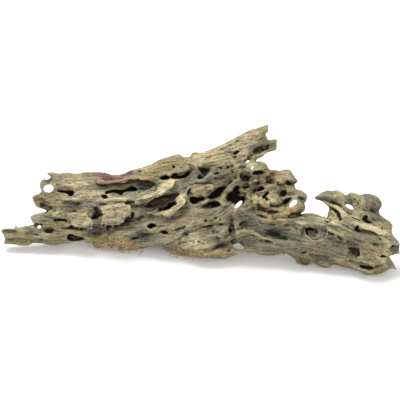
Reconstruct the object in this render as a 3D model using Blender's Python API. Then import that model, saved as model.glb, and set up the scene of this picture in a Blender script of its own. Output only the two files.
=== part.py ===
"""Honeycomb wood: one weathered, hollowed log, about 400 mm long, grown and worn as one piece.

The log is described on a drawing plane that lies along its face, in millimetres: "across" runs
from the left tip to the right end, "down" runs from a line above the broken stub to the lowest
point, and "out" is the depth, positive towards the side that is seen. The plane leans back by
LEAN, which is how the log lies when it rests on its feet.

The shape is a field of signed distances on a grid. An outline is filled like a membrane, which
gives a body with round rims. Strokes and thin sheets then cut the hollows, bores and cracks and
raise the lips, knots and plates. A relief that follows the grain is laid over all of it, and the
field is turned into one closed mesh.
"""
import math

import bmesh
import bpy
import numpy as np
from mathutils.bvhtree import BVHTree

# Driving dimensions, millimetres
LEAN = math.radians(30.0)
CENTRE_ACROSS = 199.82
GROUND_DOWN = 261.3
SET_FORWARD = 27.64
GRID_STEP = 1.9
MARGIN = 7.0
DEPTH_FRONT = 66.0
DEPTH_BACK = -84.0
RIM_RADIUS = 12.0
TRIANGLE_BUDGET = 11600

# The outline of the face, clockwise from the horn at the upper left, as (across, down)
HORN_AND_UPPER_EDGE = [
    (50.5, 176.6), (48.5, 175.6), (46.2, 174.4), (46.2, 173.2), (49, 171.7), (53, 172.5),
    (57, 174), (60, 174.3), (62, 173.2), (66, 172.8), (70, 173.1), (80, 173.2), (90, 172.5),
    (97, 172.1), (104, 172.5), (108, 173.5), (111, 174.8), (120, 174.5), (124, 173.8),
    (126.5, 172.4), (128.5, 170.9), (135, 169.7), (145, 167.3), (152.5, 165.1), (154.8, 163),
    (160, 160), (168, 157.3), (176, 154.8), (179, 153.8), (180.4, 155.6), (182, 157.1),
    (190.6, 157), (191.2, 154.6), (193.2, 152.6), (196, 151.8), (200, 153),
]
STUB = [
    (207, 150.8), (214, 148), (222, 144), (230, 140), (240, 134.5), (250, 129.3), (255, 128.3),
    (262, 126), (267, 124), (269.4, 123.8), (268.6, 126), (268.1, 128), (269.3, 130.2),
    (268.8, 131.2), (266.8, 132.4), (265.9, 134.2), (266.7, 136.2), (268.2, 138.6),
    (267.8, 139.9), (270.5, 140), (273, 139.5), (275, 139.4), (277, 138.8), (277.7, 140.6),
    (276.4, 143), (277, 145.4), (277.2, 148), (276, 149.8), (272, 150.5), (268, 152),
    (265, 154), (263, 156.5), (259, 157.8), (256.2, 159.6), (255.6, 161.2),
]
KNOTS = [
    (258, 161.4), (261, 161.1), (264, 161.7), (265.8, 163), (266.4, 165.5), (267.8, 168),
    (269.6, 169.8), (273, 170.3), (280, 171), (284.5, 170), (287.5, 169.1), (290, 169.2),
    (291.5, 171.6), (294, 176), (296, 179.2), (297.8, 181.5), (296, 182.7), (294.2, 184.3),
    (294.4, 186.3), (295.5, 188.3), (298, 189.5), (301, 190.2), (304, 191.8), (306.4, 194.4),
    (308.3, 196.4), (307.4, 198), (306.1, 199), (306.6, 201.2), (305, 202), (303, 200.8),
    (302.2, 201.6), (303.6, 203.4), (304.7, 205.6), (305, 208.4), (304, 210.4), (301.8, 212),
    (299.8, 213.4),
]
LOG_TOP = [(303, 214.4), (306, 213.9), (310, 213.2), (314, 213.7), (318, 214.8), (322, 217),
        (328, 217.8)]
KNUCKLE = [
    (327.4, 215.6), (328, 212.4), (329, 209.6), (328.2, 207), (327, 205), (324.5, 202.8),
    (321.5, 200.9), (318, 200.2), (315.5, 199.6), (313.9, 198.3), (313.7, 197.2), (316, 195.8),
    (318.5, 194.1), (321.5, 192.3), (324.5, 190.9), (327.5, 190.2), (331, 190.8), (333, 191.3),
    (334.6, 190.2), (336.2, 189.4), (338, 189.9), (340.4, 191.6), (342.4, 193.8), (344.4, 195.3),
    (346, 195.5), (348.4, 193.6), (351.5, 192.2), (354, 193.2), (357, 193.8), (359.5, 195),
    (362.5, 194.4), (366.5, 193.6), (370.5, 194.4), (374.5, 195.7), (377.5, 197.3),
    (379.8, 199.8), (381.2, 203), (381, 206), (379.6, 208.8), (377.8, 209.9), (378, 212.2),
    (379, 214.6),
]
RIGHT_END = [
    (382, 217.2), (386, 219.5), (389.3, 222), (391.4, 225.4), (391.6, 228), (390.2, 230.4),
    (390.2, 232.6), (392, 235.6), (395, 239), (398, 242), (399.2, 244.2), (398.5, 247.6),
    (398.6, 250.6), (400, 253.4), (399.8, 254.2), (395, 254.4), (391, 255.3), (388.2, 256.2),
    (389.4, 258.4), (391.4, 261), (393, 263.6), (394.2, 266.2), (396.4, 268.8), (395.4, 269.6),
    (392.4, 269), (390.4, 267.9),
]
LOG_BOTTOM = [
    (388, 269), (384, 271.3), (380, 273), (375, 274), (371, 274.2), (368, 274.8), (364, 273.9),
    (361, 272.4), (358, 270.7), (354, 269.3), (350, 268.3), (345, 267.4), (341, 266.3),
    (337, 264.7), (334, 264), (331, 265.5), (328, 266.8), (324, 267), (320.5, 266),
    (317.5, 264.6), (314, 262.9), (311, 262.3), (308.5, 263.6), (306, 264.8), (303, 265.2),
    (300.4, 264.2), (298.4, 262.2), (296.5, 259.9), (293, 257.2), (289.5, 254.9), (286.5, 253.3),
    (281, 253.4), (277, 254.3), (274, 255.6), (270, 255.9), (263, 255.1), (258, 254.6),
    (255.8, 253.2), (250, 252.3), (244, 251.9), (239.5, 252.6), (237, 253.8), (235, 255.6),
]
SLAB_BOTTOM = [
    (230, 257), (224, 258.6), (216, 258.6), (206, 258.1), (196, 257.4), (186, 256.1),
    (178, 254.4), (170, 252), (164, 250.6), (158, 248.9), (150, 248), (145, 248.3),
    (140, 249.2), (134, 250), (128, 249.4), (122, 246.8), (115, 246.4), (108, 245.6),
    (104, 246.6), (100, 247.9), (96, 248.4), (93, 247.6), (93.4, 245.2), (90, 243.5),
    (84, 242.5), (76, 242.3), (68, 243.2), (60, 244), (52, 244.9), (47.5, 244.5),
    (43, 243.2), (37, 242.8), (33, 243),
]
LEFT_TONGUES = [
    (30.6, 244.3), (28, 245.6), (22, 245.8), (14, 245.2), (8, 244.9), (3.4, 244.7), (3.3, 242.4),
    (4.4, 239.8), (4.1, 236.4), (2.2, 233.6), (0.6, 231.6), (0.3, 229.8), (3, 228.4), (6, 228.4),
    (9.4, 227.9), (11.5, 228.7), (14, 228), (14.8, 225.6), (15.8, 224.8), (16.4, 227),
    (20.5, 226.8), (26, 226.2), (30, 225.2), (34.4, 225), (33.4, 223.2), (31.8, 221.8),
    (30.8, 220.2), (31.3, 219.2), (29.7, 218.3), (30.3, 216.9), (32, 215.4), (35, 214.2),
    (40, 213.2), (44.6, 212), (47.2, 210.4), (44.6, 209.6), (41.5, 208.3), (38.6, 207.2),
    (36, 206.4), (34.6, 204.2), (33, 201.8), (33.5, 200.4), (32.2, 199), (32.1, 197.7),
    (34, 196), (37.4, 194.4), (39.7, 193.5), (39.1, 192.5), (41.2, 191.8), (41.3, 190.4),
    (40.2, 188.4), (39, 186.4), (39.1, 183.6), (39.7, 180.6), (41.2, 178.6), (43.4, 178.3),
    (46, 179), (49, 178.2),
]
OUTLINE = (HORN_AND_UPPER_EDGE + STUB + KNOTS + LOG_TOP + KNUCKLE + RIGHT_END + LOG_BOTTOM
           + SLAB_BOTTOM + LEFT_TONGUES)

# Openings that go right through, as (across, down)
WINDOWS = {
    "ring": [(47.5, 184.4), (44.5, 185.3), (42.5, 187.6), (43, 190.4), (45, 192.2), (49, 192.4),
             (52.1, 191), (53.1, 188.6), (52.4, 185.9), (50.3, 184.5)],
    "tongue gap": [(36, 227.4), (37.6, 225.5), (40.9, 225.3), (41.5, 227.2), (39.4, 228.4),
        (36.5, 228.5)],
    "lower stub gap": [(244.8, 162.9), (247.7, 163.1), (251, 160.2), (248, 159.7)],
    "upper stub gap": [(248.1, 172.2), (250.6, 172.3), (252.5, 169.3), (255, 166), (253.2, 165.2),
                       (249.8, 168.4)],
    "crevice": [(233.3, 208), (236, 208.5), (238.6, 207.1), (241.3, 204.1), (244, 200.4),
                (241.2, 200.4), (237.6, 202.8), (234.9, 205.8)],
    "lens": [(232.4, 246.2), (234.3, 244.1), (237.4, 243.1), (239.9, 243.6), (242.6, 245.9),
             (245.8, 248.9), (241.4, 249.6), (237, 249.3), (234.3, 248.1)],
    "finger ring": [(288.5, 207.2), (290.8, 207.3), (294.1, 205.4), (298.2, 203.1), (297.4, 200.8),
                    (295.9, 199.7), (293.3, 199.4), (291.1, 201.3), (289.3, 203.9)],
    "knuckle eye": [(344.1, 204.9), (347, 204.1), (350.9, 205.1), (352.9, 206.9), (353.9, 209.4),
                    (350.5, 209.2), (347.2, 207.8)],
}

# How thick the log is: (across, down, depth of the middle, half the thickness)
GIRTH = [
    (8, 237, -16, 7), (28, 236, -17, 9), (50, 235, -18, 13), (75, 238, -19, 17),
    (46, 176, -26, 5), (46, 188, -26, 6), (60, 182, -25, 12), (40, 201, -20, 7),
    (38, 218, -16, 8), (58, 203, -20, 14), (58, 216, -18, 14), (80, 190, -23, 18),
    (80, 215, -19, 21), (105, 180, -22, 17), (105, 210, -19, 25), (100, 238, -19, 20),
    (140, 178, -21, 17), (140, 208, -18, 26), (135, 238, -16, 23), (170, 166, -20, 15),
    (175, 195, -15, 26), (170, 235, -12, 26), (200, 160, -18, 15), (205, 185, -13, 24),
    (205, 220, -8, 28), (205, 250, 0, 20), (232, 150, -20, 13), (262, 133, -22, 9),
    (268, 146, -20, 7), (232, 178, -12, 19), (230, 215, -5, 24), (240, 246, 0, 17),
    (260, 170, -8, 14), (262, 195, -3, 21), (290, 176, -4, 9), (285, 195, 0, 15),
    (303, 196, 1, 6), (298, 208, 3, 8), (262, 225, 0, 25), (270, 246, 3, 23),
    (300, 228, 7, 25), (300, 252, 9, 22), (322, 222, 10, 20), (330, 245, 14, 27),
    (340, 258, 16, 24), (368, 264, 24, 21), (365, 240, 20, 26), (388, 250, 25, 20),
    (388, 228, 22, 17), (318, 197, 6, 5), (330, 196, 8, 8), (348, 202, 12, 11),
    (370, 202, 16, 14), (340, 218, 12, 15), (362, 218, 17, 20), (394, 266, 26, 6),
]

# Lines that the grain follows, as (across, down)
GRAIN_LINES = [
    [(50, 176), (90, 177), (130, 175), (160, 165), (190, 160), (230, 146), (266, 128)],
    [(55, 187), (85, 187), (115, 184), (150, 181), (180, 170), (200, 163), (250, 140)],
    [(55, 198), (100, 199), (140, 198), (170, 184), (195, 172), (235, 160), (262, 148)],
    [(33, 199), (60, 201), (80, 200)],
    [(33, 217), (60, 212), (90, 207), (125, 203)],
    [(40, 223), (66, 221), (95, 216), (125, 212), (150, 210)],
    [(5, 236), (60, 236), (100, 242), (150, 246), (190, 252), (230, 254), (250, 252)],
    [(100, 232), (130, 226), (160, 222), (185, 213), (205, 205), (225, 192), (250, 172)],
    [(140, 240), (165, 236), (190, 226), (215, 214), (232, 205)],
    [(170, 246), (200, 237), (228, 226), (236, 218)],
    [(236, 176), (256, 163)],
    [(246, 206), (275, 199), (304, 194)],
    [(245, 215), (275, 212), (303, 206)],
    [(236, 222), (262, 228), (290, 238), (330, 253), (372, 268)],
    [(255, 245), (285, 249), (320, 262)],
    [(296, 217), (330, 226), (365, 240), (397, 251)],
    [(315, 197), (335, 203), (355, 215), (380, 228), (393, 240)],
    [(338, 194), (362, 203), (378, 212)],
    [(345, 262), (370, 262), (390, 266)],
    [(268, 180), (292, 176)],
]
# Round places that the grain bends about: (across, down, radius)
GRAIN_EYES = [(312, 232, 9), (211, 204, 6), (70.5, 194, 3), (104, 197, 3), (150, 226, 4),
              (164, 232, 3), (262, 166, 4), (355, 229, 3), (364, 219, 3), (108, 177, 4),
              (236, 152, 3), (348, 205, 4), (48, 188, 5)]

# Places with knobbly, worm-eaten wood: (across, down, radius, height)
ROUGH = [(254, 184, 22, 3.2), (268, 178, 14, 2.8), (42, 202, 9, 1.2), (222, 170, 12, 1.2),
         (284, 196, 12, 1.3), (100, 242, 14, 1.0), (214, 232, 12, 0.9), (335, 215, 8, 0.8)]

# Soft dents in the seen side: (across, down, length, width, turn in degrees, depth). A negative
# depth is a swelling.
DENTS = [
    # Upper plank
    (130, 190, 32, 8, -8, 6), (153, 188.5, 6, 3.5, 0, 2.5), (100, 185, 14, 3, -5, 2.5),
    (70, 178, 18, 3, 0, 1.2), (47, 181.5, 5, 3, 0, 2.5), (186, 183, 11, 8, -40, 3),
    (160, 165, 26, 7, -20, -2.5), (86, 194, 12, 5, 0, -1.5),
    # Tongues at the left
    (46, 205, 9, 4, 20, 2.5), (74, 207.5, 18, 5, -4, 3.5), (50, 224, 12, 3, 5, 1.5),
    (48, 231, 9, 3, 0, 2.5), (46, 237, 14, 4, 0, -1.5), (25, 235, 10, 5, 0, 1.2),
    # Middle of the slab
    (96, 214, 6, 6, 60, 5), (95, 232.5, 12, 8, 25, 8), (124, 224.5, 24, 5.5, -14, 6),
    (142, 216, 16, 7, -35, 3.5), (155, 204, 19, 8.5, -14, 8), (131, 204, 8, 4, -10, 3),
    (180, 212, 15, 5, -40, 3), (143, 236, 16, 5, -5, 3), (166, 221, 14, 4, -10, 2),
    (120, 236, 18, 5, -5, -2), (196, 225, 18, 5, -30, -1.5), (218, 245, 8, 4, 0, 2.5),
    # Under the stub
    (203, 174, 6, 8, 30, 3), (216, 196, 12, 6, -30, 5), (230, 181, 12, 4, -50, 2.5),
    (234, 196, 10, 6, -30, 6), (211, 205, 11, 5, 0, 4),
    # Knots
    (246, 184, 12, 6, -40, 7), (262, 187, 10, 4, -10, 5), (284, 194, 6, 5, 0, 4),
    (250, 223, 11, 6, 15, 3.5), (272, 233.5, 13, 5, 8, 4), (235, 240, 9, 5, 20, 4),
    (233.5, 226, 3.6, 11, 8, 4.5),
    # Log and knuckle
    (309, 232, 17, 10, 5, 3), (311, 232, 7, 4, 10, 2), (334, 214, 7, 5, 50, 4),
    (350, 203, 7, 4, 20, 2.5), (353, 252, 6, 6, 0, 3.5), (372, 220, 10, 3, 15, 2.5),
    (365, 232, 9, 2.5, 10, 2), (394, 250, 6, 4, 0, 3), (372, 262, 12, 8, 0, -2.5),
    (340, 228, 16, 6, 15, -2), (282, 246, 22, 6, 5, -1.5),
]

# Wide hollows worn into the seen side. A stroke is a list of (across, down, out, radius),
# with "out" counted from the bare face; the second value is how softly its edge blends in.
HOLLOWS = [
    # Upper plank
    ("shade under the upper lip", 2.0, [(98, 185, 0, 1.6), (112, 186.4, -2, 3), (127, 184, -3.6, 4),
        (140, 184, -3.4, 4), (150, 185, -2, 3.2), (158, 186, 0, 2)]),
    # Tongues at the left
    ("between the tongues", 2.0, [(45, 211, -4, 2.2), (53, 209.6, -1.5, 1.8), (62, 206.5, 1, 1.4)]),
    ("between tongue and plank", 1.5, [(42, 227.5, -1, 1.4), (52, 228, 0.3, 1.1), (62, 228.5, 0, 1.4),
        (70, 228, -1, 1.8)]),
    ("plank shade, low", 1.5, [(31, 240.5, 0, 1.5), (41, 240, -0.2, 1.4)]),
    # Middle of the slab
    ("behind the big plate", 2.5, [(91, 207, 0, 2.2), (96, 210, -4, 3.6), (98, 216, -6, 4)]),
    ("under the big plate", 2.5, [(101, 221.5, -5, 2.4), (108, 225, -6, 3.6), (118, 225, -7, 4.2),
        (126, 220.6, -7, 4.2), (132, 214, -6, 3.8), (137, 208, -4, 3)]),
    ("big hollow", 3.5, [(143, 206, -3, 3.5), (152, 204.5, -6, 6.5), (161, 202, -8, 7.5),
        (169, 199, -8, 6.5), (176, 195.5, -6, 4.5)]),
    ("grey run beside the slot", 4.0, [(192, 167, 2.5, 3), (190.5, 174, 2, 4), (187, 182, 2, 4)]),
    ("dark run under the stub", 2.0, [(227, 188.5, -6, 3), (221, 192, -9, 4.2), (214, 195, -8, 3.6),
        (207, 197.8, -6, 2.4)]),
    ("crevice at the slab's end", 0.7, [(228.4, 216.2, -1, 0.9), (229.4, 219.4, -4, 1.2),
        (230.8, 223, -6, 1.4),
        (230.8, 226.4, -7, 1.9), (229.6, 230, -8, 2.5), (226.4, 233.8, -7, 2.2), (223, 236.8, -5, 1.5),
        (220.6, 239, -2.5, 0.9)]),
    ("oval hollow", 1.0, [(203.6, 204.8, -0.6, 2), (208, 204.6, -3, 3.2), (214, 204.6, -4, 3.6),
        (219, 205, -3, 2.4)]),
    ("above the lens", 2.0, [(229, 240.6, 0, 1.8), (234, 242, -4, 3), (239, 243.5, -4, 3)]),
    # Stub
    ("seam between stub and knots", 1.5, [(256.5, 159.6, -4, 1.3), (251, 167.4, -6, 1.6),
        (247, 174.6, -7, 2.2),
        (242.5, 181, -9, 3), (238.6, 188, -12, 4.4), (233, 195, -13, 5.2), (228, 198.4, -10, 3)]),
    # Knots
    ("dent beside the finger ring", 1.5, [(276.5, 205, 0, 1.4), (284, 204, -1, 2),
        (288, 204.6, -2, 2)]),
    # Log
    ("ring about the eye", 1.5, [(291, 230, 1.4, 1.4), (294, 226.4, 1.1, 1.7), (299.5, 223.4, 1, 1.8),
        (307, 222, 1.2, 1.8), (315, 222.6, 1.4, 1.5)]),
]

# Slits, pits and cracks with sharp edges, cut after the raised parts are on, in the same form
SLITS = [
    # Tongues at the left
    ("middle tongue, upper crack", 1.0, [(36, 197.6, 0.4, 1.2), (42, 198, -1.2, 1.6),
        (50, 199.4, -0.6, 1.4)]),
    ("middle tongue, centre crack", 1.0, [(40, 201, 0, 1.3), (48, 201.6, -1.4, 1.5),
        (56, 203, 0, 1.2)]),
    ("crack in the horn", 0.8, [(56, 185.4, 0.2, 0.9), (66, 185.8, 0, 1)]),
    # Upper plank
    ("scar under the lip", 0.8, [(86, 186.6, 0, 1), (96, 186.4, -0.6, 1.3), (108, 184.2, -0.6, 1.2)]),
    ("notch in the upper ridge", 0.8, [(180.5, 163.8, 1, 1), (185.5, 161.6, 1, 1.4)]),
    ("fold in the upper ridge", 0.8, [(130, 172.6, 0.4, 1), (142, 171.4, 0.2, 1.2),
        (154, 167, 0.6, 1)]),
    # Middle of the slab
    ("seam of the big plate", 0.9, [(94, 205.8, 0, 1.2), (101, 204.2, -1, 1.3), (109, 204.6, 0, 1)]),
    ("nick by the big plate", 0.8, [(112, 205.6, 1, 1), (115, 204.2, 1.4, 0.9)]),
    ("crack in the low slab", 0.9, [(187, 233, 0, 1), (177, 239, -0.4, 1.2), (168, 243, 0, 1)]),
    ("second crack in the low slab", 0.9, [(196, 220, 0, 1), (188, 226, -0.6, 1.3), (176, 231, 0, 1)]),
    ("third crack in the low slab", 0.9, [(190, 245.8, 0.4, 0.9), (176, 244.6, 0, 1),
        (166, 243, 0, 0.9)]),
    ("small dark chip", 0.8, [(195, 242.2, 0, 0.9), (198.6, 241.2, -1.6, 1.3), (202, 242.6, 0, 0.8)]),
    ("crack by the lump", 0.8, [(211, 170.5, 0, 1), (214.8, 173.6, -3, 1.5), (216, 178.6, -3, 1.5)]),
    ("branch of the crack", 0.8, [(213.5, 173, -1, 1), (218.6, 173.2, -2, 1.4), (222, 169, -1, 1)]),
    ("line under the lump", 0.8, [(220.5, 179, -1, 1.1), (230, 177.6, -1.5, 1.2)]),
    ("crack across the slab", 0.7, [(201, 226.6, 0, 0.9), (208, 225, -2, 1.1), (218, 224.6, -2.4, 1.2),
        (229, 223.6, -3, 1.3)]),
    ("short crack above", 0.7, [(214.5, 218, 0, 1), (219, 220, -1.6, 1), (226, 221, 0, 0.8)]),
    ("third crack above", 0.7, [(203, 223.4, 0.3, 0.8), (206, 219.6, 0, 0.9)]),
    # Stub
    ("crack below the red bore", 0.7, [(233.4, 155, 0, 1), (229, 158.8, 0, 0.9)]),
    ("long crack in the stub", 0.8, [(262, 134, 0.4, 0.9), (246, 143, 0, 1), (226, 152, 0.3, 0.9)]),
    # Knots
    ("slit in the finger", 0.7, [(299, 197.4, 0, 1), (303.5, 198.6, -0.4, 1.1)]),
    ("layers of the orange finger, a", 0.8, [(250, 208, 0, 1), (262, 210, -1, 1.2),
        (268, 212.4, -1.4, 1.3),
        (278, 212, 0, 1)]),
    ("layers of the orange finger, b", 0.8, [(256, 214, 0, 0.9), (266, 217.6, -1, 1.3),
        (274, 218.4, -1, 1.2),
        (282, 216, -0.6, 1), (292, 214.6, -1, 1.3), (301, 212.4, -1, 1.2)]),
    ("layers of the orange finger, c", 0.8, [(284, 219.4, -0.4, 1), (294, 218, -1, 1.2),
        (300, 215.4, -1, 1.3)]),
    ("dark line in the log", 0.9, [(255, 239.4, 0.5, 0.9), (266, 241, -0.8, 1.3),
        (277, 244.4, -0.6, 1.3)]),
    ("upper line in the log", 0.9, [(262, 230.4, 0.4, 0.9), (272, 230, -0.6, 1.4), (286, 231, 0.2, 1)]),
    # Log
    ("groove along the beak", 1.0, [(320, 199.4, 0.4, 1), (329, 201.6, -0.8, 1.4),
        (338, 205.6, -1, 1.5),
        (346, 210, 0.2, 1.2)]),
    ("second groove of the beak", 1.0, [(336, 201, 0.6, 0.9), (343, 205.4, 0, 1.1),
        (350, 210.6, 0.4, 1)]),
    ("foot of the triangle recess", 0.8, [(330, 218, -4, 1.1), (338.6, 220.6, -5, 1.2)]),
    ("crease of the grey lobe", 0.9, [(356.6, 197.6, 0.6, 1), (361, 201.6, 0, 1.3),
        (367, 207.4, 0, 1.4),
        (376, 212.6, 0.4, 1.2)]),
    ("groove under the eye", 1.2, [(326, 233, 1, 1.2), (336, 236, 0, 1.8), (346, 241, 0, 2),
        (352, 245, 0, 1.6)]),
    ("groove from the upper hole", 1.2, [(367, 221.4, -0.6, 1.5), (374, 223.6, 0.2, 1.3),
        (384, 227, 0.6, 1)]),
    ("groove from the lower hole", 1.2, [(356.6, 230.4, -0.6, 1.5), (362, 231.8, 0.3, 1.2),
        (369, 232.6, 0.7, 1)]),
    ("arc round the end lobe", 0.7, [(363.6, 246, 0.4, 0.9), (362.6, 253, 0.2, 1),
        (363.6, 260, 0, 1.1), (368, 265.4, 0, 1.1)]),
    ("chips near the end", 0.7, [(374, 258.4, 0.6, 0.7), (384, 259.8, 0.2, 0.9)]),
    ("arc of the end lobe", 0.9, [(359, 262, 0.6, 0.9), (364, 266.2, 0, 1.2), (373, 268, 0, 1.2),
        (380, 265, 0.4, 1)]),
    ("low lines of the log", 0.9, [(300, 251, 0.4, 1), (310, 254, 0, 1.3), (322, 256, 0.2, 1)]),
]

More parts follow.
